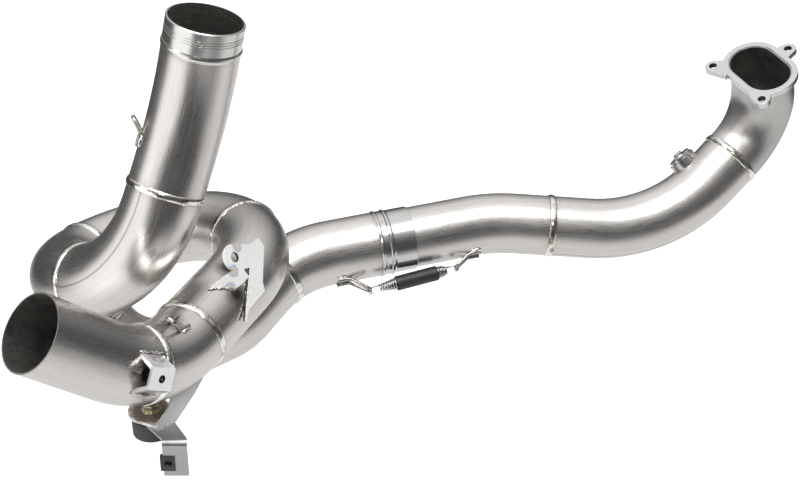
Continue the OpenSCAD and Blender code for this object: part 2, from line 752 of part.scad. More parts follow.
module mount_insert() {
    color(STEEL) hanger_frame() mount_insert_body(stud_d);
}

// Clip bracket: a strip under the hanger's flat, led forward and folded down, with a clip nut on its edge

CLIP_FOLD_Y = -355;
CLIP_LEFT_X = -487;
CLIP_HOLE_X = 4;
CLIP_HOLE_DOWN = 0.62;
module clip_bracket() {
    top = HANGER_AT.z - sheet_t;
    fold_r = 4;
    color(STEEL) {
        difference() {
            translate([0, 0, top - clip_sheet]) linear_extrude(clip_sheet) hull() {
                translate([HANGER_AT.x, HANGER_AT.y]) circle(r = 11, $fn = 48);
                translate([CLIP_LEFT_X, CLIP_FOLD_Y + fold_r]) square([clip_w, 1]);
            }
            translate([HANGER_AT.x, HANGER_AT.y, top - clip_sheet - cut]) cylinder(d = stud_d + 0.6, h = clip_sheet + 2 * cut);
        }
        translate([CLIP_LEFT_X, CLIP_FOLD_Y + fold_r, top - fold_r]) {
            rotate([0, 90, 0]) rotate([0, 0, 180]) rotate_extrude(angle = 90)
                translate([fold_r - clip_sheet, 0]) square([clip_sheet, clip_w]);
            translate([0, -fold_r, -clip_drop + fold_r]) difference() {
                cube([clip_w, clip_sheet, clip_drop - fold_r]);
                translate([CLIP_HOLE_X, -cut, (1 - CLIP_HOLE_DOWN) * clip_drop]) rotate([-90, 0, 0])
                    cylinder(d = clip_thread + 1, h = clip_sheet + 2 * cut);
            }
        }
    }
}

module clip_nut() {
    mid_z = HANGER_AT.z - sheet_t - CLIP_HOLE_DOWN * clip_drop;
    clip_t = 1;
    leaf = 11;
    tall = 13;
    color(BLACK) translate([CLIP_LEFT_X, CLIP_FOLD_Y, mid_z]) {
        difference() {
            translate([-2, -clip_t, -tall / 2]) cube([leaf, clip_sheet + 2 * clip_t, tall]);
            translate([0, 0, -tall / 2 - cut]) cube([leaf, clip_sheet, tall + 2 * cut]);
            translate([CLIP_HOLE_X, -clip_t - cut, 0]) rotate([-90, 0, 0])
                cylinder(d = clip_thread + 1, h = clip_sheet + 2 * clip_t + 2 * cut);
        }
        translate([CLIP_HOLE_X, clip_sheet + clip_t - 0.3, 0]) rotate([-90, 0, 0]) difference() {
            cylinder(d = clip_thread + 3, h = clip_hub);
            translate([0, 0, -cut]) cylinder(d = clip_thread, h = clip_hub + 2 * cut);
        }
    }
}

port_flange();
port_bend();
front_bend();
sensor_bung();
sensor_plug();
front_tube();
slip_socket();
cross_bend();
under_bend();
collector();
back_tube();
crown_bend();
outlet_elbow();
outlet_bend();
inlet_collar();
inlet_tube();
rear_bend();
inlet_hook();
elbow_hook();
slip_hook_front();
slip_hook_rear();
joint_spring();
spring_sleeve();
gusset_bracket();
nut_bracket();
weld_nut();
hanger_strap();
mount_stud();
mount_washer();
mount_nut();
rubber_mount();
mount_insert();
clip_bracket();
clip_nut();
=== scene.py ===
"""Looks of a motorcycle exhaust header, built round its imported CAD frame.

Everything is in metres and in the CAD's frame: +X to the front of the motorcycle, +Y away from the side that
shows, +Z up, with the origin at the centre of the front port's bolt circle.
"""

from __future__ import annotations

import logging
import math
from dataclasses import dataclass, field
from enum import Enum
from typing import Any, Sequence

import bmesh
import bpy
from mathutils import Matrix, Vector, noise
from mathutils.kdtree import KDTree

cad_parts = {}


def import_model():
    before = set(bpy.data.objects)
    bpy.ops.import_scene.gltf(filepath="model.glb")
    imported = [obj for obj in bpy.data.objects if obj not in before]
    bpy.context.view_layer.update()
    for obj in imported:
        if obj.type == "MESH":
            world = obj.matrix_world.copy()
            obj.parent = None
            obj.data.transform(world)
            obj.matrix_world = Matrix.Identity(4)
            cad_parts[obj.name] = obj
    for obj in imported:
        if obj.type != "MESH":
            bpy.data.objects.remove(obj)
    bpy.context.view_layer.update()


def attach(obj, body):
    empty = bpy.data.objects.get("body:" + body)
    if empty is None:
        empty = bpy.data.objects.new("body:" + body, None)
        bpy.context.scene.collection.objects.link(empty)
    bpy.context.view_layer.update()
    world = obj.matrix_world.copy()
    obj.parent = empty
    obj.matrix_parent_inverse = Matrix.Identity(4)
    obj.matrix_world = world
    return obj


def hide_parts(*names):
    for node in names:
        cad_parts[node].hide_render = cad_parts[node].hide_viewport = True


MM = 0.001
TAU = 2 * math.pi
ROOT = "root"
LOG = logging.getLogger("header")

STRAIGHT = "straight"
WELD = "weld"
SEAM = "seam"
SKIN_UV = "skin"
NO_SEAM = 1.0


class Slot(Enum):
    """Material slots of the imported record."""

    TUBE = "titanium_tube"
    FLANGE = "machined_flange"
    TURNED = "machined_steel"
    HOOK = "hook_wire"
    SPRING = "spring_wire"
    SLEEVE = "silicone_sleeve"
    BRACKET = "polished_bracket"
    ZINC = "gold_zinc"
    RUBBER = "rubber"
    SHEET = "clip_sheet"
    CLIP = "black_clip"


# Geometry of the pipes


def side_of(direction: Vector) -> Vector:
    """Return a unit vector square to a direction."""
    other = Vector((0, 0, 1)) if abs(direction.z) < 0.9 else Vector((0, 1, 0))
    return direction.cross(other).normalized()


def frame_matrix(point: Vector, x: Vector, y: Vector, z: Vector) -> Matrix:
    """Return the matrix that carries the unit axes to x, y and z at a point."""
    turn = Matrix((x, y, z)).transposed()
    return Matrix.Translation(point) @ turn.to_4x4()


def spot(frame: Matrix, x: float, y: float, z: float) -> Vector:
    """Return a point of a frame, given in millimetres."""
    return frame @ (Vector((x, y, z)) * MM)


@dataclass(eq=False)
class Route:
    """Centre line of a pipe or a wire: straight legs with a round bend at each inner corner.

    A station is the distance along the line from its first corner, in metres. Corners are given in millimetres,
    each with the radius of its bend.
    """

    corners: tuple[tuple[float, float, float, float], ...]
    directions: list[Vector] = field(init=False)
    setbacks: list[float] = field(init=False)
    bends: list[float] = field(init=False)
    starts: list[float] = field(init=False)

    def __post_init__(self) -> None:
        """Work out each leg's direction and start, and how much every bend takes of its legs."""
        count = len(self.corners)
        self.directions = [(self.corner(i + 1) - self.corner(i)).normalized() for i in range(count - 1)]
        angles = [0.0] * count
        for i in range(1, count - 1):
            angles[i] = self.directions[i - 1].angle(self.directions[i])
        self.setbacks = [self.bend_radius(i) * math.tan(angles[i] / 2) for i in range(count)]
        self.bends = [self.bend_radius(i) * angles[i] for i in range(count)]
        self.starts = [0.0]
        for i in range(count - 2):
            self.starts.append(self.starts[i] + self.leg_length(i) + self.bends[i + 1])

    def corner(self, i: int) -> Vector:
        """Return a corner in metres."""
        return Vector(self.corners[i][:3]) * MM

    def bend_radius(self, i: int) -> float:
        """Return a bend's radius in metres."""
        return self.corners[i][3] * MM

    def leg_length(self, i: int) -> float:
        """Return the length of a leg between its bends."""
        whole = (self.corner(i + 1) - self.corner(i)).length
        return whole - self.setbacks[i] - self.setbacks[i + 1]

    @property
    def length(self) -> float:
        """Return the length of the whole line."""
        return self.starts[-1] + self.leg_length(len(self.starts) - 1)

    def on_leg(self, i: int, share: float) -> float:
        """Return the station at a share of a leg."""
        return self.starts[i] + share * self.leg_length(i)

    def on_bend(self, i: int, share: float) -> float:
        """Return the station at a share of a bend."""
        return self.starts[i] - (1 - share) * self.bends[i]

    def leg_of(self, station: float) -> int:
        """Return the leg that a station lies on, or the leg before its bend."""
        return max(i for i, start in enumerate(self.starts) if i == 0 or station > start)

    def pose(self, station: float) -> tuple[Vector, Vector]:
        """Return the point and the direction of flow at a station.

        Args:
            station: Distance along the line.

        Returns:
            The point and the unit direction of flow.
        """
        i = self.leg_of(station)
        along = station - self.starts[i]
        over = along - self.leg_length(i)
        flow = self.directions[i]
        if over <= 0 or i == len(self.corners) - 2:
            return self.corner(i) + flow * (self.setbacks[i] + along), flow
        radius = self.bend_radius(i + 1)
        angle = over / radius
        after = self.directions[i + 1]
        inward = (after - flow * after.dot(flow)).normalized()
        start = self.corner(i + 1) - flow * self.setbacks[i + 1]
        point = start + inward * radius * (1 - math.cos(angle)) + flow * radius * math.sin(angle)
        return point, flow * math.cos(angle) + inward * math.sin(angle)

    def outward(self, station: float, clock: float) -> Vector:
        """Return the direction out of the pipe at a station and a clock angle in degrees from its top.

        Args:
            station: Distance along the line.
            clock: Angle round the pipe in degrees, 0 at its top.

        Returns:
            The unit direction from the centre line to the skin.
        """
        flow = self.pose(station)[1]
        up = Vector((0, 0, 1))
        top = (up - flow * flow.z).normalized()
        turn = math.radians(clock)
        return top * math.cos(turn) + flow.cross(top) * math.sin(turn)

    def skin_frame(self, station: float, clock: float, radius: float) -> Matrix:
        """Return the frame on the pipe's skin, with X along the flow and Z straight out of the pipe.

        Args:
            station: Distance along the line.
            clock: Angle round the pipe in degrees.
            radius: Radius of the pipe.

        Returns:
            The matrix of the frame.
        """
        point, flow = self.pose(station)
        out = self.outward(station, clock)
        return frame_matrix(point + out * radius, flow, out.cross(flow), out)

    def cross_frame(self, station: float) -> Matrix:
        """Return the frame at a station with Z along the flow.

        Args:
            station: Distance along the line.

        Returns:
            The matrix of the frame.
        """
        point, flow = self.pose(station)
        side = side_of(flow)
        return frame_matrix(point, side, flow.cross(side), flow)

    def stations(self, start: float, end: float, step: float, bend_step: float) -> list[float]:
        """Return stations from start to end that hit every change between leg and bend.

        Args:
            start: First station.
            end: Last station.
            step: Longest step on a leg.
            bend_step: Largest turn of one step in a bend, in radians.

        Returns:
            The stations in order, both ends included.
        """
        marks = [start, end]
        for i in range(len(self.corners) - 1):
            marks += [self.starts[i], self.starts[i] + self.leg_length(i)]
        marks = sorted(m for m in marks if start <= m <= end)
        out = [start]
        for a, b in zip(marks, marks[1:]):
            if b - a < 1e-7:
                continue
            middle = (a + b) / 2
            i = self.leg_of(middle)
            bent = middle > self.starts[i] + self.leg_length(i)
            longest = self.bend_radius(i + 1) * bend_step if bent else step
            count = max(1, math.ceil((b - a) / longest))
            out += [a + (b - a) * k / count for k in range(1, count + 1)]
        return out


REAR = Route((
    (-455, -194, 128, 0),
    (-470, -195, 58, 250),
    (-514, -243, -68, 92),
    (-620, -165, -116, 60),
    (-528, -82, -114, 76),
    (-399, -128, -79, 79),
    (-497, -317, -107, 91),
    (-568, -370, -33, 0),
))
MERGE = REAR.on_bend(3, 0.2)

PORT_AXIS = Vector((-28, -25, 93)).normalized()
PORT_X = (Vector((1, 0, 0)) - PORT_AXIS * PORT_AXIS.x).normalized()
PORT_Y = PORT_AXIS.cross(PORT_X)
PORT_CENTRE = PORT_X * 5.5 + PORT_Y * 2.8
PORT_CORNER = PORT_CENTRE - PORT_AXIS * 60.4
PORT_TURN = math.radians(115.5)
BOLT_CLOCK = 151.0
BOLT_RADIUS = 38.5 * MM
PLATE_MIDDLE = 2.5 * MM
MERGE_POINT = REAR.pose(MERGE)[0] / MM

FRONT = Route((
    (*PORT_CENTRE, 0),
    (*PORT_CORNER, 58),
    (-78, -43, -140, 140),
    (-231, -46, -127, 150),
    (-410, -94, -139, 100),
    (-453, -153, -165, 64),
    (-533, -207, -175, 58),
    (*MERGE_POINT, 0),
))
BRANCH = FRONT.on_leg(6, 0.1)
SOCKET_DEPTH = 30 * MM
SPIGOT_DEPTH = 21 * MM
BUNG = (FRONT.on_bend(2, 0.03), 39.0)

# Ends of the collector along the loop, then places on the loop, each a station and a clock angle.
COLLECTOR = (REAR.on_leg(2, 0.5), REAR.on_bend(3, 0.83))
LUG = (REAR.on_leg(5, 0.24), -59.0)
HAT = (REAR.on_bend(6, 0.78), -80.0)
ELBOW_HOOK = (REAR.on_bend(6, 0.26), -18.0)
HANGER_FOOT = Vector((-0.499, -0.3185, -0.136))


@dataclass(frozen=True)
class Pipes:
    """Diameters that the pipes share, in metres."""

    main: float = 60 * MM
    front: float = 54 * MM
    cross: float = 57 * MM
    wall: float = 1.2 * MM
    bead_height: float = 1.15 * MM
    bead_width: float = 6.0 * MM


PIPES = Pipes()


# Meshes


class Mesh:
    """A bmesh in the making, with the layers that the pipe finishes read."""

    def __init__(self) -> None:
        """Start an empty mesh."""
        self.bm = bmesh.new()
        self.straight = self.bm.verts.layers.float_vector.new(STRAIGHT)
        self.weld = self.bm.verts.layers.float.new(WELD)
        self.seam = self.bm.verts.layers.float.new(SEAM)

    def ring(self, frame: Matrix, radius: float, sides: int) -> list[bmesh.types.BMVert]:
        """Add an open circle in a frame's XY plane and note where its vertices lie round the pipe.

        Args:
            frame: Frame that the circle lies in.
            radius: Radius of the circle.
            sides: Number of its vertices.

        Returns:
            The circle's vertices.
        """
        verts = bmesh.ops.create_circle(self.bm, cap_ends=False, radius=radius, segments=sides, matrix=frame)["verts"]
        back = frame.inverted()
        for vert in verts:
            vert[self.straight] = back @ vert.co
            vert[self.seam] = NO_SEAM
            vert[self.weld] = NO_SEAM
        return verts

    def extrude(self, ring: list[bmesh.types.BMVert]) -> list[bmesh.types.BMVert]:
        """Extrude a closed ring of vertices and return the new ring.

        Args:
            ring: Vertices of the ring.

        Returns:
            The vertices of the new ring.
        """
        members = set(ring)
        edges = list({e for v in ring for e in v.link_edges if e.other_vert(v) in members})
        made = bmesh.ops.extrude_edge_only(self.bm, edges=edges)["geom"]
        return [g for g in made if isinstance(g, bmesh.types.BMVert)]

    def sweep(
        self,
        route: Route,
        stations: Sequence[float],
        radius: float,
        sides: int,
        place: Matrix | None = None,
        caps: bool = False,
    ) -> None:
        """Sweep a circle along a route, keeping each vertex's place on the pipe as it was before it was bent.

        Args:
            route: The centre line.
            stations: Stations of the rings.
            radius: Radius of the circle.
            sides: Vertices in the circle.
            place: Frame that the route is written in, if not the object's.
            caps: Close both ends.
        """
        start = route.cross_frame(stations[0])
        ring = self.ring(start, radius, sides)
        first = list(ring)
        every = list(ring)
        for vert in ring:
            vert[self.straight].z = stations[0]
        for a, b in zip(stations, stations[1:]):
            ring = self.extrude(ring)
            point_a, flow_a = route.pose(a)
            point_b, flow_b = route.pose(b)
            turn = flow_a.rotation_difference(flow_b).to_matrix()
            bmesh.ops.rotate(self.bm, verts=ring, cent=point_a, matrix=turn)
            bmesh.ops.translate(self.bm, verts=ring, vec=point_b - point_a)
            for vert in ring:
                vert[self.straight].z = b
            every += ring
        if caps:
            for end in (first, ring):
                bmesh.ops.contextual_create(self.bm, geom=end)
        if place is not None:
            bmesh.ops.transform(self.bm, matrix=place, verts=every)

    def sweep_points(self, points: Sequence[Vector], radius: float, sides: int, closed: bool = False) -> None:
        """Sweep a circle along a line of points, with its ends capped or joined.

        Args:
            points: Centre line, in the object's frame.
            radius: Radius of the circle.
            sides: Vertices in the circle.
            closed: Join the ends instead of capping them.
        """
        count = len(points)
        if closed:
            ways = [(points[(i + 1) % count] - points[i - 1]).normalized() for i in range(count)]
        else:
            ways = [(points[min(i + 1, count - 1)] - points[max(i - 1, 0)]).normalized() for i in range(count)]
        side = side_of(ways[0])
        first = ring = self.ring(frame_matrix(points[0], side, ways[0].cross(side), ways[0]), radius, sides)
        for i in range(1, count):
            ring = self.extrude(ring)
            turn = ways[i - 1].rotation_difference(ways[i]).to_matrix()
            bmesh.ops.rotate(self.bm, verts=ring, cent=points[i - 1], matrix=turn)
            bmesh.ops.translate(self.bm, verts=ring, vec=points[i] - points[i - 1])
        if closed:
            ends = set(first) | set(ring)
            edges = [e for e in self.bm.edges if e.verts[0] in ends and e.verts[1] in ends and e.is_boundary]
            bmesh.ops.bridge_loops(self.bm, edges=edges)
        else:
            for end in (first, ring):
                bmesh.ops.contextual_create(self.bm, geom=end)

    def mark_ends(self, start: float | None, end: float | None) -> None:
        """Note each vertex's distance from the welded ends, given as stations.

        Args:
            start: Station of the first weld, or None.
            end: Station of the last weld, or None.
        """
        for vert in self.bm.verts:
            station = vert[self.straight].z
            ends = [abs(station - e) for e in (start, end) if e is not None]
            vert[self.weld] = min(ends, default=NO_SEAM)

    def mark_seam(self, angle: float, radius: float) -> None:
        """Note each vertex's distance from the lengthwise seam, which lies at an angle round the pipe.

        Args:
            angle: Angle of the seam in radians.
            radius: Radius of the pipe.
        """
        for vert in self.bm.verts:
            here = math.atan2(vert[self.straight].y, vert[self.straight].x)
            away = (here - angle + math.pi) % TAU - math.pi
            vert[self.seam] = away * radius

    def unroll(self, radius: float) -> None:
        """Give the mesh a UV map with U round the pipe and V along it.

        Args:
            radius: Radius of the pipe, which scales the way along it.
        """
        uv = self.bm.loops.layers.uv.new(SKIN_UV)
        for face in self.bm.faces:
            turns = []
            for loop in face.loops:
                at = loop.vert[self.straight]
                turns.append(math.atan2(at.y, at.x) / TAU % 1)
            wraps = max(turns) - min(turns) > 0.5
            for loop, turn in zip(face.loops, turns):
                across = turn + 1 if wraps and turn < 0.5 else turn
                loop[uv].uv = (across, loop.vert[self.straight].z / (TAU * radius))

    def object(self, name: str, materials: Sequence[bpy.types.Material]) -> bpy.types.Object:
        """Turn the bmesh into an object with the given materials."""
        bmesh.ops.recalc_face_normals(self.bm, faces=self.bm.faces)
        return mesh_object(name, self.bm, materials)


def add_object(name: str, data: bpy.types.ID) -> bpy.types.Object:
    """Make an object of a mesh, a lamp or a camera and link it to the scene.

    Args:
        name: Name of the object.
        data: What the object shows.

    Returns:
        The new object.
    """
    thing = bpy.data.objects.new(name, data)
    bpy.context.scene.collection.objects.link(thing)
    return thing


def mesh_object(name: str, bm: bmesh.types.BMesh, materials: Sequence[bpy.types.Material] = ()) -> bpy.types.Object:
    """Turn a bmesh into an object with the given materials, and free it.

    Args:
        name: Name of the object and of its mesh.
        bm: The bmesh.
        materials: Materials in the order of the faces' indices.

    Returns:
        The new object.
    """
    data = bpy.data.meshes.new(name)
    bm.to_mesh(data)
    bm.free()
    for material in materials:
        data.materials.append(material)
    return add_object(name, data)


def bake_modifiers(thing: bpy.types.Object) -> bpy.types.Mesh:
    """Replace an object's mesh by what its modifiers make of it, and return the new mesh.

    Args:
        thing: The object.

    Returns:
        The new mesh.
    """
    graph = bpy.context.evaluated_depsgraph_get()
    graph.update()
    data = bpy.data.meshes.new_from_object(thing.evaluated_get(graph))
    old = thing.data
    thing.modifiers.clear()
    thing.data = data
    bpy.data.meshes.remove(old)
    return data


def apply_modifiers(thing: bpy.types.Object, sharp: float = 35.0) -> None:
    """Apply an object's modifiers and shade it smooth up to an angle in degrees.

    Args:
        thing: The object.
        sharp: Angle past which an edge stays sharp, in degrees.
    """
    data = bake_modifiers(thing)
    data.shade_smooth()
    data.set_sharp_from_angle(angle=math.radians(sharp))


def weigh_normals(thing: bpy.types.Object) -> None:
    """Let an object's flat faces keep their own normals, so that only its rounded edges shade."""
    thing.modifiers.new("normals", "WEIGHTED_NORMAL").keep_sharp = True
    bake_modifiers(thing)


def settle(thing: bpy.types.Object, replaces: Sequence[str] = ()) -> None:
    """Let a finished piece ride on the header, hide the CAD nodes that it stands for, and log them.

    Args:
        thing: The finished piece.
        replaces: CAD nodes that the piece stands for.
    """
    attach(thing, ROOT)
    if replaces:
        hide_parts(*replaces)
    LOG.info("%s: %d faces for %s", thing.name, len(thing.data.polygons), ", ".join(replaces) or "no node")


# Shaders


Colour = tuple[float, float, float]
Stops = tuple[tuple[float, Colour], ...]
GRAIN = "brushed grain"
HEAT_AND_SHADE = "heat tint and painted shade"
WEAR = "handling"
HEAT_TINTS: Stops = (
    (0.0, (0.35, 0.26, 0.16)), (0.30, (0.62, 0.46, 0.26)), (0.48, (0.42, 0.30, 0.44)),
    (0.62, (0.25, 0.38, 0.62)), (0.80, (0.62, 0.68, 0.76)),
)
# Brown heat colour at the hanger strap's weld, also standing in as a painted dark reflection on the strap's flat.
BROWN_TINTS_AND_DARK_REFLECTION: Stops = ((0.0, (0.13, 0.10, 0.08)), (0.6, (0.17, 0.135, 0.11)), (0.85, (0.40, 0.33, 0.27)))


def rgba(colour: Colour, factor: float = 1.0) -> tuple[float, ...]:
    """Return a colour times a factor, with its alpha."""
    return tuple(factor * part for part in colour) + (1,)


class Graph:
    """A node tree that is being wired."""

    def __init__(self, tree: bpy.types.NodeTree) -> None:
        """Take the tree to wire."""
        self.tree = tree

    def add(self, kind: str, settings: dict[str, Any] | None = None, inputs: dict[Any, Any] | None = None) -> Any:
        """Add a node, with its settings and its inputs as values or sockets to link.

        Args:
            kind: Type of the node.
            settings: The node's own properties by name.
            inputs: Values or sockets by the input's name or index.

        Returns:
            The node.
        """
        node = self.tree.nodes.new(kind)
        for name, value in (settings or {}).items():
            setattr(node, name, value)
        for name, value in (inputs or {}).items():
            if isinstance(value, bpy.types.NodeSocket):
                self.tree.links.new(value, node.inputs[name])
            else:
                node.inputs[name].default_value = value
        return node

    def math(self, operation: str, a: Any, b: Any = 0.0, clamp: bool = False) -> bpy.types.NodeSocket:
        """Return the result of a math node."""
        return self.add("ShaderNodeMath", {"operation": operation, "use_clamp": clamp}, {0: a, 1: b}).outputs[0]

    def remap(self, value: Any, low: float, high: float, to_low: Any, to_high: Any) -> bpy.types.NodeSocket:
        """Return a value carried from one range to another, held at its ends."""
        inputs = {"Value": value, "From Min": low, "From Max": high, "To Min": to_low, "To Max": to_high}
        return self.add("ShaderNodeMapRange", {"clamp": True}, inputs).outputs["Result"]

    def mix(self, factor: Any, a: Any, b: Any) -> bpy.types.NodeSocket:
        """Return a mix of two colours."""
        return self.add("ShaderNodeMix", {"data_type": "RGBA"}, {0: factor, 6: a, 7: b}).outputs[2]

    def noise(self, vector: Any, scale: float, detail: float = 2.0, rough: float = 0.5) -> bpy.types.NodeSocket:
        """Return the value of a noise texture."""
        inputs = {"Vector": vector, "Scale": scale, "Detail": detail, "Roughness": rough}
        return self.add("ShaderNodeTexNoise", None, inputs).outputs["Fac"]

    def scaled(self, vector: Any, factors: Any) -> bpy.types.NodeSocket:
        """Return a vector multiplied part by part."""
        return self.add("ShaderNodeVectorMath", {"operation": "MULTIPLY"}, {0: vector, 1: factors}).outputs[0]

    def times(self, vector: Any, factor: Any) -> bpy.types.NodeSocket:
        """Return a vector or a colour multiplied by one factor."""
        return self.add("ShaderNodeVectorMath", {"operation": "SCALE"}, {0: vector, "Scale": factor}).outputs[0]

    def dot(self, vector: Any, axis: Vector) -> bpy.types.NodeSocket:
        """Return the dot product of a vector and an axis."""
        return self.add("ShaderNodeVectorMath", {"operation": "DOT_PRODUCT"}, {0: vector, 1: axis}).outputs["Value"]

    def distance(self, vector: Any, point: Vector) -> bpy.types.NodeSocket:
        """Return how far a vector lies from a point."""
        return self.add("ShaderNodeVectorMath", {"operation": "DISTANCE"}, {0: vector, 1: point}).outputs["Value"]

    def ramp(self, value: Any, stops: Stops) -> bpy.types.NodeSocket:
        """Return the colour of a ramp with the given stops.

        Args:
            value: Place on the ramp, from 0 to 1.
            stops: Places and colours in order.

        Returns:
            The colour's socket.
        """
        node = self.add("ShaderNodeValToRGB", None, {"Fac": value})
        elements = node.color_ramp.elements
        while len(elements) < len(stops):
            elements.new(0.5)
        for element, (position, colour) in zip(elements, stops):
            element.position = position
            element.color = (*colour, 1)
        return node.outputs["Color"]

    def attribute(self, name: str, output: str) -> bpy.types.NodeSocket:
        """Return a mesh attribute's output."""
        return self.add("ShaderNodeAttribute", {"attribute_name": name}).outputs[output]

    def object_coordinates(self) -> bpy.types.NodeSocket:
        """Return the place on the object, in metres."""
        return self.add("ShaderNodeTexCoord").outputs["Object"]

    def group(self, name: str, inputs: dict[str, Any]) -> Any:
        """Place a node group and return its outputs."""
        tree = bpy.data.node_groups[name]
        return self.add("ShaderNodeGroup", {"node_tree": tree}, inputs).outputs

    def bump(self, height: Any, distance: float) -> bpy.types.NodeSocket:
        """Return a normal bumped by a height from 0 to 1 over a distance in metres."""
        inputs = {"Height": height, "Distance": distance, "Strength": 1.0}
        return self.add("ShaderNodeBump", None, inputs).outputs["Normal"]


def new_group(name: str, inputs: dict[str, str], outputs: dict[str, str]) -> tuple[Graph, Any, Any]:
    """Start a shader node group.

    Args:
        name: Name of the group.
        inputs: Socket kinds by name, such as {"Scale": "Float"}.
        outputs: The same for what the group puts out.

    Returns:
        The group's graph, its input node's outputs and its output node's inputs.
    """
    tree = bpy.data.node_groups.new(name, "ShaderNodeTree")
    for sockets, way in ((inputs, "INPUT"), (outputs, "OUTPUT")):
        for label, kind in sockets.items():
            tree.interface.new_socket(name=label, in_out=way, socket_type="NodeSocket" + kind)
    graph = Graph(tree)
    return graph, graph.add("NodeGroupInput").outputs, graph.add("NodeGroupOutput").inputs


def make_grain() -> None:
    """Build the group that draws streaks along a pipe, from fine to broad."""
    inputs = {"Place": "Vector", "Across": "Float", "Along": "Float"}
    graph, given, out = new_group(GRAIN, inputs, {"Fine": "Float", "Broad": "Float"})
    stretch = graph.add("ShaderNodeCombineXYZ", None, {0: given["Across"], 1: given["Across"], 2: given["Along"]})
    place = graph.scaled(given["Place"], stretch.outputs[0])
    fine = graph.noise(place, 1.0, 3.0, 0.65)
    broad = graph.noise(place, 0.17, 2.0, 0.5)
    graph.tree.links.new(fine, out["Fine"])
    graph.tree.links.new(broad, out["Broad"])


def make_heat() -> None:
    """Build the group that tints metal near a weld, and paints shade: it blackens the metal where the distance is below
    zero, at spots under the brackets.
    """
    inputs = {"Base": "Color", "Place": "Vector", "Distance": "Float", "Reach": "Float", "Strength": "Float"}
    graph, given, out = new_group(HEAT_AND_SHADE, inputs, {"Color": "Color"})
    ragged = graph.noise(given["Place"], 140.0, 3.0, 0.6)
    shift = graph.math("MULTIPLY", graph.math("SUBTRACT", ragged, 0.5), 0.55)
    share = graph.math("ADD", graph.math("DIVIDE", given["Distance"], given["Reach"]), shift, clamp=True)
    tint = graph.ramp(share, (
        (0.0, (0.09, 0.07, 0.055)),
        (0.20, (0.26, 0.21, 0.16)),
        (0.40, (0.56, 0.48, 0.38)),
        (0.58, (0.48, 0.47, 0.50)),
        (0.78, (0.62, 0.59, 0.55)),
        (1.0, (0.64, 0.617, 0.597)),
    ))
    heat = graph.math("MULTIPLY", graph.remap(share, 0.0, 1.0, 1.0, 0.0), given["Strength"], clamp=True)
    # Painted shade: below zero the colour goes black, for the shadow under the brackets and seen through the gusset's
    # hole.
    painted_shade = graph.remap(given["Distance"], -0.005, -0.0005, 0.92, 0.0)
    tinted = graph.mix(heat, given["Base"], tint)
    graph.tree.links.new(graph.mix(painted_shade, tinted, (0.03, 0.027, 0.024, 1)), out["Color"])


def make_wear() -> None:
    """Build the group that draws the smudges of handling."""
    graph, given, out = new_group(WEAR, {"Place": "Vector", "Scale": "Float"}, {"Smudge": "Float"})
    smudge = graph.noise(graph.times(given["Place"], given["Scale"]), 18.0, 4.0, 0.55)
    graph.tree.links.new(graph.remap(smudge, 0.35, 0.7, 0.0, 1.0), out["Smudge"])


def new_material(name: str) -> tuple[bpy.types.Material, Graph, Any]:
    """Start a material and return it with its graph and its Principled shader.

    Args:
        name: Name of the material.

    Returns:
        The material, its graph and its Principled shader.
    """
    material = bpy.data.materials.new(name)
    material.use_nodes = True
    graph = Graph(material.node_tree)
    shader = material.node_tree.nodes["Principled BSDF"]
    return material, graph, shader


def wire(graph: Graph, shader: Any, values: dict[str, Any]) -> None:
    """Set a shader's inputs to values or link them to sockets.

    Args:
        graph: The graph that the shader stands in.
        shader: The shader's node.
        values: Values or sockets by the input's name.
    """
    for name, value in values.items():
        if isinstance(value, bpy.types.NodeSocket):
            graph.tree.links.new(value, shader.inputs[name])
        else:
            shader.inputs[name].default_value = value


@dataclass(frozen=True)
class TubeFinish:
    """Brushed tube: streaks along the pipe, a faint lengthwise seam and heat tint beside the welds."""

    name: str = "brushed tube"
    colour: Colour = (0.64, 0.617, 0.597)
    roughness: float = 0.25
    anisotropy: float = 0.55
    grain_across: float = 1500.0
    grain_along: float = 45.0
    grain_depth: float = 0.00003
    tint_reach: float = 0.010
    tint_strength: float = 0.55
    seam_core: float = 0.0005
    seam_edge: float = 0.0013
    seam_strength: float = 0.6
    seam_colour: Colour = (0.24, 0.22, 0.20)

    def build(self) -> bpy.types.Material:
        """Build the brushed metal.

        Returns:
            The material.
        """
        material, graph, shader = new_material(self.name)
        place = graph.attribute(STRAIGHT, "Vector")
        grain = graph.group(GRAIN, {"Place": place, "Across": self.grain_across, "Along": self.grain_along})
        wear = graph.group(WEAR, {"Place": place, "Scale": 1.0})
        shade = graph.remap(grain["Broad"], 0.3, 0.7, 0.93, 1.04)
        # The weld distance also carries the painted shade under the brackets, which this group blackens.
        tint = graph.group(HEAT_AND_SHADE, {
            "Base": graph.times(self.colour, shade),
            "Place": place,
            "Distance": graph.attribute(WELD, "Fac"),
            "Reach": self.tint_reach,
            "Strength": self.tint_strength,
        })
        seam = graph.math("ABSOLUTE", graph.attribute(SEAM, "Fac"))
        line = graph.remap(seam, self.seam_core, self.seam_edge, 1.0, 0.0)
        share = graph.math("MULTIPLY", line, self.seam_strength)
        colour = graph.mix(share, tint["Color"], rgba(self.seam_colour))
        brushed = graph.remap(grain["Fine"], 0.25, 0.75, self.roughness - 0.05, self.roughness + 0.08)
        rough = graph.math("ADD", brushed, graph.math("MULTIPLY", wear["Smudge"], 0.05))
        relief = graph.math("ADD", grain["Fine"], graph.math("MULTIPLY", line, -1.2))
        tangent = graph.add("ShaderNodeTangent", {"direction_type": "UV_MAP", "uv_map": SKIN_UV}).outputs[0]
        wire(graph, shader, {
            "Base Color": colour,
            "Metallic": 1.0,
            "Roughness": rough,
            "Anisotropic": self.anisotropy,
            "Tangent": tangent,
            "Normal": graph.bump(relief, self.grain_depth),
        })
        return material


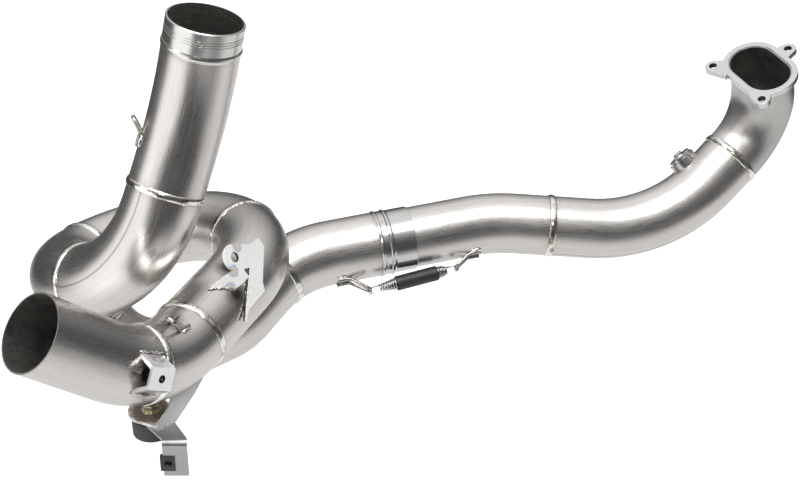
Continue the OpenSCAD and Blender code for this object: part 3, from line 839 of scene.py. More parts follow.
@dataclass(frozen=True)
class BeadFinish:
    """Weld bead: silver, glossy and rippled, with dark brown patches."""

    name: str = "weld bead"
    colour: Colour = (0.78, 0.77, 0.75)
    roughness: float = 0.12

    def build(self) -> bpy.types.Material:
        """Build the bead's metal.

        Returns:
            The material.
        """
        material, graph, shader = new_material(self.name)
        place = graph.object_coordinates()
        patch = graph.noise(place, 90.0, 3.0, 0.6)
        ripple = graph.noise(place, 700.0, 2.0, 0.5)
        colour = graph.ramp(patch, (
            (0.30, (0.17, 0.14, 0.11)),
            (0.40, (0.50, 0.46, 0.40)),
            (0.48, self.colour),
            (0.72, (0.86, 0.86, 0.86)),
        ))
        wire(graph, shader, {
            "Base Color": colour,
            "Metallic": 1.0,
            "Roughness": graph.remap(ripple, 0.3, 0.7, self.roughness - 0.05, self.roughness + 0.14),
            "Normal": graph.bump(ripple, 0.00005),
        })
        return material


@dataclass(frozen=True)
class BoreFinish:
    """Inside of a tube: unbrushed, darker and grainy."""

    name: str = "tube bore"

    def build(self) -> bpy.types.Material:
        """Build the dull metal of the inside.

        Returns:
            The material.
        """
        material, graph, shader = new_material(self.name)
        place = graph.object_coordinates()
        grain = graph.noise(place, 500.0, 4.0, 0.7)
        patch = graph.noise(place, 60.0, 3.0, 0.6)
        colour = graph.ramp(patch, (
            (0.3, (0.28, 0.27, 0.255)),
            (0.55, (0.46, 0.445, 0.425)),
            (0.8, (0.55, 0.515, 0.48)),
        ))
        wire(graph, shader, {
            "Base Color": colour,
            "Metallic": 1.0,
            "Roughness": graph.remap(grain, 0.3, 0.7, 0.3, 0.5),
            "Normal": graph.bump(grain, 0.00008),
        })
        return material


@dataclass(frozen=True)
class TurnedFinish:
    """Turned or milled metal: fine rings square to an axis."""

    name: str
    axis: Vector
    colour: Colour = (0.60, 0.595, 0.585)
    roughness: float = 0.2
    pitch: float = 1500.0
    depth: float = 0.000004

    def build(self) -> bpy.types.Material:
        """Build the turned metal.

        Returns:
            The material.
        """
        material, graph, shader = new_material(self.name)
        place = graph.object_coordinates()
        thread = graph.add("ShaderNodeCombineXYZ", None, {2: graph.dot(place, self.axis)}).outputs[0]
        rings = graph.noise(thread, self.pitch, 2.0, 0.6)
        wear = graph.group(WEAR, {"Place": place, "Scale": 2.0})
        shade = graph.remap(wear["Smudge"], 0.0, 1.0, 1.0, 0.9)
        colour = graph.mix(shade, rgba(self.colour, 0.7), rgba(self.colour))
        wire(graph, shader, {
            "Base Color": colour,
            "Metallic": 1.0,
            "Roughness": graph.remap(rings, 0.3, 0.7, self.roughness - 0.05, self.roughness + 0.07),
            "Normal": graph.bump(rings, self.depth),
        })
        return material


@dataclass(frozen=True)
class SheetFinish:
    """Bright sheet metal with heat colours round the points where it was welded or cut; on the hanger strap the dark
    ramp is also painted reflection.
    """

    name: str
    colour: Colour = (0.80, 0.80, 0.80)
    roughness: float = 0.2
    hot: tuple[Vector, ...] = ()
    reach: float = 0.012
    strength: float = 0.6
    metallic: float = 1.0
    tints: Stops = HEAT_TINTS

    def build(self) -> bpy.types.Material:
        """Build the sheet metal.

        Returns:
            The material.
        """
        material, graph, shader = new_material(self.name)
        place = graph.object_coordinates()
        grain = graph.noise(graph.scaled(place, (160.0, 60.0, 160.0)), 1.0, 3.0, 0.6)
        wear = graph.group(WEAR, {"Place": place, "Scale": 3.0})
        smudge = wear["Smudge"]
        colour = graph.mix(graph.math("MULTIPLY", smudge, 0.2), rgba(self.colour), rgba(self.colour, 0.75))
        ragged = graph.noise(place, 260.0, 2.0, 0.6)
        for middle in self.hot:
            wander = graph.math("MULTIPLY", graph.math("SUBTRACT", ragged, 0.5), 0.5)
            away = graph.math("DIVIDE", graph.distance(place, middle), self.reach)
            share = graph.math("ADD", away, wander, clamp=True)
            tint = graph.ramp(share, (*self.tints, (1.0, self.colour)))
            heat = graph.math("MULTIPLY", graph.remap(share, 0.75, 1.0, 1.0, 0.0), self.strength)
            colour = graph.mix(heat, colour, tint)
        rough = graph.remap(grain, 0.3, 0.7, self.roughness - 0.02, self.roughness + 0.03)
        wire(graph, shader, {
            "Base Color": colour,
            "Metallic": self.metallic,
            "Roughness": graph.math("ADD", rough, graph.math("MULTIPLY", smudge, 0.05)),
        })
        return material


@dataclass(frozen=True)
class CoatedFinish:
    """Rubber, silicone or a dark coating: a plain body colour with a fine skin."""

    name: str
    colour: Colour
    roughness: float
    metallic: float = 0.0
    grain: float = 600.0
    depth: float = 0.00008

    def build(self) -> bpy.types.Material:
        """Build the coat or the rubber.

        Returns:
            The material.
        """
        material, graph, shader = new_material(self.name)
        place = graph.object_coordinates()
        skin = graph.noise(place, self.grain, 3.0, 0.6)
        wear = graph.group(WEAR, {"Place": place, "Scale": 3.0})
        light = tuple(min(1.0, 1.5 * c + 0.01) for c in self.colour) + (1,)
        wire(graph, shader, {
            "Base Color": graph.mix(graph.math("MULTIPLY", wear["Smudge"], 0.5), rgba(self.colour), light),
            "Metallic": self.metallic,
            "Roughness": graph.remap(skin, 0.3, 0.7, self.roughness - 0.08, self.roughness + 0.1),
            "Normal": graph.bump(skin, self.depth),
        })
        return material


class Finishes:
    """The finishes of the header, each built once."""

    def __init__(self) -> None:
        """Build every finish."""
        self.tube = TubeFinish().build()
        self.bead = BeadFinish().build()
        self.bore = BoreFinish().build()
        self.wire = SheetFinish("hook wire", (0.42, 0.40, 0.37), 0.2).build()
        self.spring = SheetFinish("spring wire", (0.40, 0.40, 0.41), 0.16).build()
        self.sleeve = CoatedFinish("black sleeve", (0.018, 0.018, 0.02), 0.42).build()
        self.rubber = CoatedFinish("buffer rubber", (0.045, 0.045, 0.048), 0.62, grain=900.0, depth=0.0002).build()
        self.zinc = SheetFinish("yellow zinc", (0.70, 0.63, 0.50), 0.24).build()
        self.sheet = SheetFinish("folded sheet", (0.40, 0.40, 0.40), 0.34).build()
        self.clip = CoatedFinish("black clip", (0.05, 0.05, 0.055), 0.4, metallic=0.7).build()
        # Painted shade: near-black finish for the walls of holes and for the gap under the gusset's edge.
        self.painted_shade = CoatedFinish("black painted shade", (0.03, 0.026, 0.022), 0.4, metallic=0.5).build()
        # Darker copy of the tube finish: partly the port bend's own duller grey, partly painted shade where the lamps
        # light it too brightly.
        self.port = TubeFinish("port tube", (0.52, 0.505, 0.49), 0.36).build()
        self.turned = TurnedFinish("turned steel", Vector((0, 0, 1))).build()



# Pieces


@dataclass
class Tube:
    """One length of pipe with the weld bead at its downstream end."""

    node: str
    route: Route
    start: float
    end: float
    diameter: float
    welded_start: bool = True
    welded_end: bool = True
    seam: float | None = None
    # Painted shade: spots, each a middle and a reach, that turn black inside and tinted round the edge.
    shade_and_tint_spots: tuple[tuple[Vector, float], ...] = ()
    sides: int = 96
    step: float = 5 * MM
    bend_step: float = math.radians(3.0)

    def skin(self) -> Mesh:
        """Return the outer skin with its layers.

        Returns:
            The skin, without its wall.
        """
        mesh = Mesh()
        stations = self.route.stations(self.start, self.end, self.step, self.bend_step)
        mesh.sweep(self.route, stations, self.diameter / 2, self.sides)
        self.mark(mesh)
        return mesh

    def mark(self, mesh: Mesh) -> None:
        """Note welds, seam and UV on a skin.

        Args:
            mesh: Skin of the tube.
        """
        mesh.mark_ends(self.start if self.welded_start else None, self.end if self.welded_end else None)
        # Painted shade: spots under the brackets count as lying inside a weld, so that they turn black.
        for middle, reach in self.shade_and_tint_spots:
            for vert in mesh.bm.verts:
                vert[mesh.weld] = min(vert[mesh.weld], (vert.co - middle).length - reach)
        if self.seam is not None:
            mesh.mark_seam(math.radians(self.seam), self.diameter / 2)
        mesh.unroll(self.diameter / 2)

    def finish(self, looks: Finishes) -> bpy.types.Material:
        """Return the material of the outside."""
        return looks.tube

    def build(self, looks: Finishes) -> None:
        """Build the tube in place of its CAD node.

        Args:
            looks: The header's finishes.
        """
        outside = self.finish(looks)
        thing = self.skin().object(self.node + "_skin", (outside, looks.bore, outside))
        self.thicken(thing)
        settle(thing, (self.node,))
        if self.welded_end:
            Bead(self.node + "_bead", self.route, self.end, self.diameter).build(looks)

    @staticmethod
    def thicken(thing: bpy.types.Object) -> None:
        """Give a skin its wall, with the bore in the second material.

        Args:
            thing: The skin as an object.
        """
        wall = thing.modifiers.new("wall", "SOLIDIFY")
        wall.thickness = PIPES.wall
        wall.offset = -1
        wall.material_offset = 1
        wall.material_offset_rim = 2
        apply_modifiers(thing)


@dataclass
class Bead:
    """Weld bead round a pipe: a low ring with the ripples of its passes."""

    name: str
    route: Route
    station: float
    diameter: float
    width: float = PIPES.bead_width
    height: float = PIPES.bead_height
    passes: int = 58
    ripple: float = 0.08
    ripple_lean: float = 9.0
    uneven_height: float = 0.12
    uneven_width: float = 0.1
    sides: int = 14
    steps: int = 232

    def build(self, looks: Finishes) -> None:
        """Build the bead.

        Args:
            looks: The header's finishes.
        """
        mesh = Mesh()
        frame = self.route.cross_frame(self.station)
        radius = self.diameter / 2
        section = frame @ Matrix.Translation((radius, 0, 0)) @ Matrix.Rotation(math.pi / 2, 4, "X")
        section = section @ Matrix.Diagonal((self.height, self.width / 2, 1, 1))
        bmesh.ops.create_circle(mesh.bm, cap_ends=False, radius=1, segments=self.sides, matrix=section)
        bmesh.ops.spin(mesh.bm, geom=mesh.bm.verts[:] + mesh.bm.edges[:], cent=frame.translation,
                       axis=frame.col[2].to_3d(), angle=TAU, steps=self.steps, use_merge=True)
        back = frame.inverted()
        for vert in mesh.bm.verts:
            at = back @ vert.co
            turn = math.atan2(at.y, at.x)
            rise = math.hypot(at.x, at.y) - radius
            wander = noise.noise(Vector((math.cos(turn), math.sin(turn), self.station * 40)) * 3.0)
            wave = math.cos(self.passes * turn + self.ripple_lean * at.z / self.width)
            swell = 1 + self.ripple * wave + self.uneven_height * wander
            grown = radius + max(rise, 0) * swell + min(rise, 0)
            at.x, at.y = grown * math.cos(turn), grown * math.sin(turn)
            at.z *= 1 + self.uneven_width * wander
            vert.co = frame @ at
        thing = mesh.object(self.name, (looks.bead,))
        apply_modifiers(thing, 60)
        settle(thing)


@dataclass
class WeldRun:
    """Short ragged weld along a line on a pipe, such as the foot of a bracket; a dark run is painted shadow, black in a
    gap.
    """

    name: str
    frame: Matrix
    points: tuple[tuple[float, float, float], ...]
    radius: float = 1.3
    dark: bool = False
    step: float = 0.5 * MM
    lumps: float = 420.0
    grains: float = 900.0

    def build(self, looks: Finishes) -> None:
        """Build the run through its points, given in millimetres in the frame.

        Args:
            looks: The header's finishes.
        """
        line = Route(tuple((*p, 0.0) for p in self.points))
        stations = line.stations(0, line.length, self.step, 1.0)
        mesh = Mesh()
        mesh.sweep_points([self.frame @ line.pose(s)[0] for s in stations], self.radius * MM, 12)
        bmesh.ops.recalc_face_normals(mesh.bm, faces=mesh.bm.faces)
        mesh.bm.normal_update()
        for vert in mesh.bm.verts:
            lump = noise.noise(vert.co * self.lumps) + 0.5 * noise.noise(vert.co * self.grains)
            vert.co += vert.normal * lump * 0.5 * self.radius * MM
        # Painted shadow: a dark run takes the black finish and fills a gap where only shade falls.
        thing = mesh.object(self.name, (looks.painted_shade if self.dark else looks.bead,))
        apply_modifiers(thing, 70)
        settle(thing)


@dataclass
class PortBend(Tube):
    """First tube, whose oblong mouth turns round while the pipe bends."""

    long: float = 66 * MM
    wide: float = 42 * MM
    recess: float = 1 * MM
    blend: float = 78 * MM
    side_share: float = 0.22

    def finish(self, looks: Finishes) -> bpy.types.Material:
        """Return the darker, rougher finish of the first tube, whose darker colour is partly painted shade."""
        return looks.port

    def skin(self) -> Mesh:
        """Return the outer skin: a round pipe whose rings are drawn out to an oblong towards the port.

        Returns:
            The skin, without its wall.
        """
        mesh = Mesh()
        route = self.route
        stations = route.stations(self.recess, self.end, self.step / 2, self.bend_step)
        mesh.sweep(route, stations, self.diameter / 2, self.sides)
        plane = route.directions[0].cross(route.directions[1]).normalized()
        long_way = PORT_X * math.cos(PORT_TURN) + PORT_Y * math.sin(PORT_TURN)
        lean = math.atan2(long_way.dot(route.directions[0].cross(plane)), long_way.dot(plane))
        for vert in mesh.bm.verts:
            station = vert[mesh.straight].z
            share = min(1.0, max(0.0, (station - self.recess) / (self.blend - self.recess)))
            oblong = (1 + math.cos(math.pi * share)) / 2
            point, flow = route.pose(station)
            across = flow.cross(plane)
            x_way = plane * math.cos(lean) + across * math.sin(lean)
            y_way = across * math.cos(lean) - plane * math.sin(lean)
            out = (vert.co - point).normalized()
            x, y = out.dot(x_way), out.dot(y_way)
            radius = (self.wide * oblong + self.diameter * (1 - oblong)) / 2
            half = (self.long - self.wide) * oblong / 2
            reach = radius * x + half * max(-1.0, min(1.0, x / self.side_share))
            past = max(0.0, abs(reach) - half)
            rise = math.copysign(math.sqrt(max(0.0, radius * radius - past * past)), y)
            vert.co = point + x_way * reach + y_way * rise
        self.mark(mesh)
        return mesh


@dataclass
class Saddle:
    """Branch pipe of the collector, cut off inside the loop, with the weld where it enters."""

    route: Route = FRONT
    into: Route = REAR
    start: float = BRANCH
    diameter: float = PIPES.cross
    main: float = PIPES.main
    sides: int = 96
    samples: int = 80
    halvings: int = 16
    inset: float = 1.5 * MM
    weld_radius: float = 2.0 * MM
    line: KDTree = field(init=False)

    def __post_init__(self) -> None:
        """Sample the centre line of the loop that the branch enters."""
        low, high = COLLECTOR
        self.line = KDTree(self.samples + 1)
        for k in range(self.samples + 1):
            self.line.insert(self.into.pose(low + (high - low) * k / self.samples)[0], k)
        self.line.balance()

    def away(self, point: Vector) -> float:
        """Return how far a point lies outside the loop's skin."""
        return self.line.find(point)[2] - self.main / 2

    def build(self, looks: Finishes) -> None:
        """Build the branch and its saddle weld.

        Args:
            looks: The header's finishes.
        """
        radius = self.diameter / 2
        mesh = Mesh()
        stations = self.route.stations(self.start, self.route.length, 3 * MM, math.radians(3))
        mesh.sweep(self.route, stations, radius, self.sides)
        flow = self.route.directions[6]
        back = self.route.cross_frame(self.start).inverted()
        joint: list[Vector] = []
        for vert in mesh.bm.verts:
            if abs(vert[mesh.straight].z - self.start) < 1e-6:
                low, high = 0.0, self.route.length - self.start
                for _ in range(self.halvings):
                    middle = (low + high) / 2
                    low, high = (middle, high) if self.away(vert.co + flow * middle) > 0 else (low, middle)
                joint.append(vert.co + flow * low)
        joint.sort(key=lambda p: math.atan2((back @ p).y, (back @ p).x))
        inner = [v for v in mesh.bm.verts if self.away(v.co) < -self.inset]
        bmesh.ops.delete(mesh.bm, geom=inner, context="VERTS")
        Tube("collector_branch", self.route, self.start, self.route.length, self.diameter, welded_end=False).mark(mesh)
        near = [min((p - v.co).length for p in joint) for v in mesh.bm.verts]
        for vert, far in zip(mesh.bm.verts, near):
            vert[mesh.weld] = min(vert[mesh.weld], far)
        thing = mesh.object("collector_branch", (looks.tube, looks.bore, looks.tube))
        Tube.thicken(thing)
        settle(thing)
        bead = Mesh()
        bead.sweep_points(joint, self.weld_radius, 12, closed=True)
        weld = bead.object("collector_saddle_weld", (looks.bead,))
        apply_modifiers(weld, 60)
        settle(weld)


@dataclass
class WireHook:
    """Bent-wire hook with a weld lump at each foot."""

    node: str
    route: Route
    station: float
    clock: float
    diameter: float
    reach: float
    rise: float
    way: float
    wire: float = 3.0
    span: float = 12.0
    crown: float = 7.6
    foot: float = 8.0
    sink: float = 0.2
    lump_at: tuple[float, float, float] = (3.5, 0.8, -0.9)
    lump_size: tuple[float, float, float] = (5.2, 2.6, 1.9)

    def line(self) -> Route:
        """Return the wire's centre line in the frame of the pipe's skin, in millimetres.

        Returns:
            The line from one foot to the other.
        """
        od = self.diameter / MM
        low = self.wire / 2 - (self.span / 2) ** 2 / od - self.sink
        s, c, way = self.span / 2, self.crown / 2, self.way
        turn = c - 0.2
        return Route((
            (-way * self.foot, -s, low, 0),
            (way * 3, -s + 0.5, low, 4),
            (way * self.reach, -c, self.rise, turn),
            (way * self.reach, c, self.rise, turn),
            (way * 3, s - 0.5, low, 4),
            (-way * self.foot, s, low, 0),
        ))

    def crown_centre(self) -> Vector:
        """Return the middle of the hook's crown, where a spring's eye hangs.

        Returns:
            The point in the scene's frame.
        """
        point, flow = self.route.pose(self.station)
        out = self.route.outward(self.station, self.clock)
        return point + out * (self.diameter / 2 + self.rise * MM) + flow * self.way * self.reach * MM

    def build(self, looks: Finishes) -> None:
        """Build the wire and the weld lumps.

        Args:
            looks: The header's finishes.
        """
        frame = self.route.skin_frame(self.station, self.clock, self.diameter / 2)
        line = self.line()
        mesh = Mesh()
        stations = line.stations(0, line.length, 1.5 * MM, math.radians(12))
        mesh.sweep(line, stations, self.wire * MM / 2, 20, place=frame, caps=True)
        thing = mesh.object(self.node + "_wire", (looks.wire,))
        apply_modifiers(thing, 50)
        settle(thing, (self.node,))
        for side in (-1, 1):
            lump = Mesh()
            back, aside, down = self.lump_at
            at = Matrix.Translation(Vector((-self.way * back, side * (self.span / 2 + aside), down)) * MM)
            shape = Matrix.Diagonal((*(Vector(self.lump_size) * MM), 1))
            bmesh.ops.create_icosphere(lump.bm, subdivisions=4, radius=1, matrix=frame @ at @ shape)
            for vert in lump.bm.verts:
                vert.co += vert.normal * noise.noise(vert.co * 600) * 0.4 * MM
            weld = lump.object(f"{self.node}_weld_{'a' if side < 0 else 'b'}", (looks.bead,))
            apply_modifiers(weld, 60)
            settle(weld)


@dataclass
class JointSpring:
    """Extension spring between the slip hooks: an eye, a tapered coil and an eye, wound from one wire."""

    start: Vector
    end: Vector
    up: Vector
    wire: float = 1.8 * MM
    diameter: float = 11 * MM
    eye_gap: float = 0.15 * MM
    hook_wire: float = 3 * MM
    turns: int = 27
    lead: float = 8 * MM
    front_taper: float = 2.0
    rear_taper: float = 6.0
    turn_steps: int = 24
    sides: int = 12
    sleeve_length: float = 38 * MM
    sleeve_wall: float = 0.9 * MM
    sleeve_gap: float = 0.2 * MM
    sleeve_share: float = 0.15
    sleeve_round: float = 0.35 * MM
    sleeve_edge: float = 0.8 * MM
    swell: float = 0.06 * MM
    swell_pitch: float = 2.4 * MM

    def frame(self) -> Matrix:
        """Return the frame with X along the spring and Y towards the side that the hooks lean to.

        Returns:
            The matrix of the frame.
        """
        x = (self.end - self.start).normalized()
        y = (self.up - x * self.up.dot(x)).normalized()
        return frame_matrix(self.start, x, y, x.cross(y))

    @property
    def eye_radius(self) -> float:
        """Return the radius of an eye's centre line."""
        return (self.hook_wire + self.wire) / 2 + self.eye_gap

    def eye(self, x: float, first: int, last: int) -> list[Vector]:
        """Return the points of the eye round a crown at x, between two angles in degrees."""
        angles = map(math.radians, range(first, last, -15))
        return [Vector((x + self.eye_radius * math.cos(a), -self.eye_radius * math.sin(a), 0)) for a in angles]

    def points(self) -> list[Vector]:
        """Return the wire's centre line in the spring's frame.

        Returns:
            The points from one eye to the other.
        """
        eye = self.eye_radius
        body = (self.diameter - self.wire) / 2
        length = (self.end - self.start).length
        coil = length - 2 * self.lead
        out = self.eye(0.0, -60, -241)
        for k in range(self.turns * self.turn_steps + 1):
            turn = k / self.turn_steps
            near = min(1.0, turn / self.front_taper, (self.turns - turn) / self.rear_taper)
            radius = eye + (body - eye) * near
            angle = math.pi / 2 + TAU * turn
            along = self.lead + coil * turn / self.turns
            out.append(Vector((along, -radius * math.sin(angle), radius * math.cos(angle))))
        return out + self.eye(length, 60, -121)

    def build(self, looks: Finishes) -> None:
        """Build the spring and its sleeve.

        Args:
            looks: The header's finishes.
        """
        frame = self.frame()
        points = [frame @ p for p in self.points()]
        mesh = Mesh()
        mesh.sweep_points(points, self.wire / 2, self.sides)
        thing = mesh.object("joint_spring_wire", (looks.spring,))
        apply_modifiers(thing, 60)
        settle(thing, ("joint_spring",))
        self.build_sleeve(frame, looks)

    def build_sleeve(self, frame: Matrix, looks: Finishes) -> None:
        """Build the black sleeve with rounded ends and a slight swell over the coils.

        Args:
            frame: The spring's frame.
            looks: The header's finishes.
        """
        coil = (self.end - self.start).length - 2 * self.lead
        begin = self.lead + self.sleeve_share * coil
        outer = self.diameter / 2 + self.sleeve_gap + self.sleeve_wall
        mesh = Mesh()
        axis_frame = frame @ Matrix.Translation((begin, 0, 0)) @ Matrix.Rotation(math.pi / 2, 4, "Y")
        ring = mesh.ring(axis_frame, outer - self.sleeve_round, 48)
        steps = 38
        for k in range(1, steps + 1):
            ring = mesh.extrude(ring)
            bmesh.ops.translate(mesh.bm, verts=ring, vec=axis_frame.col[2].to_3d() * self.sleeve_length / steps)
        back = axis_frame.inverted()
        for vert in mesh.bm.verts:
            at = back @ vert.co
            edge = min(at.z, self.sleeve_length - at.z)
            rounding = self.sleeve_round * max(0.0, 1 - edge / self.sleeve_edge)
            wave = self.swell * math.cos(TAU * at.z / self.swell_pitch)
            grow = (outer - rounding + wave) / math.hypot(at.x, at.y)
            at.x, at.y = at.x * grow, at.y * grow
            vert.co = axis_frame @ at
        thing = mesh.object("spring_sleeve_skin", (looks.sleeve,))
        wall = thing.modifiers.new("wall", "SOLIDIFY")
        wall.thickness = self.sleeve_wall
        wall.offset = -1
        apply_modifiers(thing, 50)
        settle(thing, ("spring_sleeve",))


@dataclass(frozen=True)
class Softened:
    """A CAD node drawn again with the small rounded edges that pressed and machined metal has."""

    node: str
    slot: Slot
    width: float = 0.35 * MM
    segments: int = 2
    angle: float = 30.0
    bores: tuple[Vector, ...] = ()
    bore_reach: float = 4.4 * MM

    def build(self, material: bpy.types.Material, hole_shade: bpy.types.Material | None = None) -> None:
        """Build the piece from a merged copy of the node's mesh.

        Args:
            material: Finish of the whole piece.
            hole_shade: Finish of the faces that lie wholly within reach of the middle of a bore.
        """
        bm = bmesh.new()
        bm.from_mesh(bpy.data.objects[self.node].data)
        bmesh.ops.remove_doubles(bm, verts=bm.verts, dist=0.002 * MM)
        bmesh.ops.dissolve_limit(bm, angle_limit=math.radians(1.0), verts=bm.verts, edges=bm.edges)
        bmesh.ops.recalc_face_normals(bm, faces=bm.faces)
        thing = mesh_object(self.node + "_soft", bm, (material,))
        bevel = thing.modifiers.new("edges", "BEVEL")
        bevel.width = self.width
        bevel.segments = self.segments
        bevel.limit_method = "ANGLE"
        bevel.angle_limit = math.radians(self.angle)
        apply_modifiers(thing, 40)
        weigh_normals(thing)
        # Painted shade: the faces round each bore's middle take the black finish, for the shade inside the hole.
        if hole_shade is not None:
            thing.data.materials.append(hole_shade)
            places = [vert.co for vert in thing.data.vertices]
            for face in thing.data.polygons:
                for bore in self.bores:
                    if all((places[i] - bore).length < self.bore_reach for i in face.vertices):
                        face.material_index = 1
        settle(thing, (self.node,))


def dress(node: str, material: bpy.types.Material) -> None:
    """Give a CAD node that stays a finish of its own.

    Args:
        node: Name of the CAD node.
        material: Its finish.
    """
    slots = bpy.data.objects[node].data.materials
    slots.clear()
    slots.append(material)
    LOG.info("%s dressed in %s", node, material.name)


# Sub-assemblies


@dataclass
class FrontPrimary:
    """Pipes from the front cylinder's port to the collector."""

    looks: Finishes
    route: Route = FRONT

    def build(self) -> None:
        """Build the tubes and the sensor bung."""
        r = self.route
        port_end = r.on_leg(1, 0.2)
        bend_end = r.on_leg(2, 0.53)
        socket_end = r.on_leg(3, 0.66)
        cross_end = r.on_bend(4, 0.7)
        spigot = socket_end - SOCKET_DEPTH + SPIGOT_DEPTH
        PortBend("port_bend", r, 0, port_end, PIPES.front, welded_start=False, seam=-60).build(self.looks)
        Tube("front_bend", r, port_end, bend_end, PIPES.front, seam=150).build(self.looks)
        Tube("front_tube", r, bend_end, spigot, PIPES.front, welded_end=False).build(self.looks)
        Tube("cross_bend", r, socket_end, cross_end, PIPES.cross).build(self.looks)
        Tube("under_bend", r, cross_end, BRANCH, PIPES.cross).build(self.looks)
        dress("slip_socket", TurnedFinish("turned socket", r.pose(socket_end)[1]).build())
        boss = TurnedFinish("turned boss", r.outward(*BUNG), roughness=0.22).build()
        Softened("sensor_bung", Slot.TURNED).build(boss)
        Softened("sensor_plug", Slot.TURNED).build(boss)
        turns = [math.radians(BOLT_CLOCK + 120 * k) for k in range(3)]
        bolts = tuple(
            (PORT_X * math.cos(turn) + PORT_Y * math.sin(turn)) * BOLT_RADIUS - PORT_AXIS * PLATE_MIDDLE
            for turn in turns
        )
        milled = TurnedFinish("milled flange", PORT_AXIS, (0.66, 0.66, 0.665), 0.3).build()
        # The flange's bolt holes take the black finish as painted shade.
        Softened("port_flange", Slot.FLANGE, 0.6 * MM, 3, bores=bolts).build(milled, self.looks.painted_shade)


@dataclass
class RearLoop:
    """Pipes from the rear cylinder's collar round the loop to the outlet."""

    looks: Finishes
    route: Route = REAR

    def build(self) -> None:
        """Build the tubes, the collar and the branch's saddle."""
        r = self.route
        collar = 21 * MM
        inlet = r.on_leg(1, 0.7)
        rear, loop = COLLECTOR
        back = r.on_bend(5, 0.42)
        crown = r.on_leg(5, 0.9)
        elbow = r.on_bend(6, 0.57)
        main = PIPES.main
        Tube("inlet_tube", r, collar, inlet, main, seam=-100).build(self.looks)
        Tube("rear_bend", r, inlet, rear, main, seam=-100).build(self.looks)
        Tube("collector", r, rear, loop, main).build(self.looks)
        Tube("back_tube", r, loop, back, main).build(self.looks)
        # Painted shadow on the skin: under the gusset's hole, below its free edge, under the nut bracket and under the
        # elbow hook's wire.
        gusset_hole_shadow = (self.on_skin(LUG, -4, -22), 10 * MM)
        gusset_edge_shadow = (self.on_skin(LUG, 14, -6), 8 * MM)
        at_nut = (self.on_skin(HAT, 0, 0), 12 * MM)
        at_hook = (self.on_skin(ELBOW_HOOK, 0, 0), 4 * MM)
        Tube("crown_bend", r, back, crown, main, seam=30, shade_and_tint_spots=(gusset_hole_shadow, gusset_edge_shadow)).build(self.looks)
        Tube("outlet_elbow", r, crown, elbow, main, shade_and_tint_spots=(at_hook,)).build(self.looks)
        Tube("outlet_bend", r, elbow, r.length, main, welded_end=False, shade_and_tint_spots=(at_nut,)).build(self.looks)
        dress("inlet_collar", TurnedFinish("turned collar", r.directions[0], (0.66, 0.65, 0.63), 0.24).build())
        Saddle().build(self.looks)

    def on_skin(self, place: tuple[float, float], x: float, y: float) -> Vector:
        """Return a point on the loop's skin, x along it and y round it in millimetres from a place.

        Args:
            place: Station and clock angle of the place.
            x: Way along the loop.
            y: Way round it.

        Returns:
            The point in the scene's frame.
        """
        radius = PIPES.main / 2 / MM
        frame = self.route.skin_frame(*place, PIPES.main / 2)
        return spot(frame, x, y, math.sqrt(radius ** 2 - y ** 2) - radius)


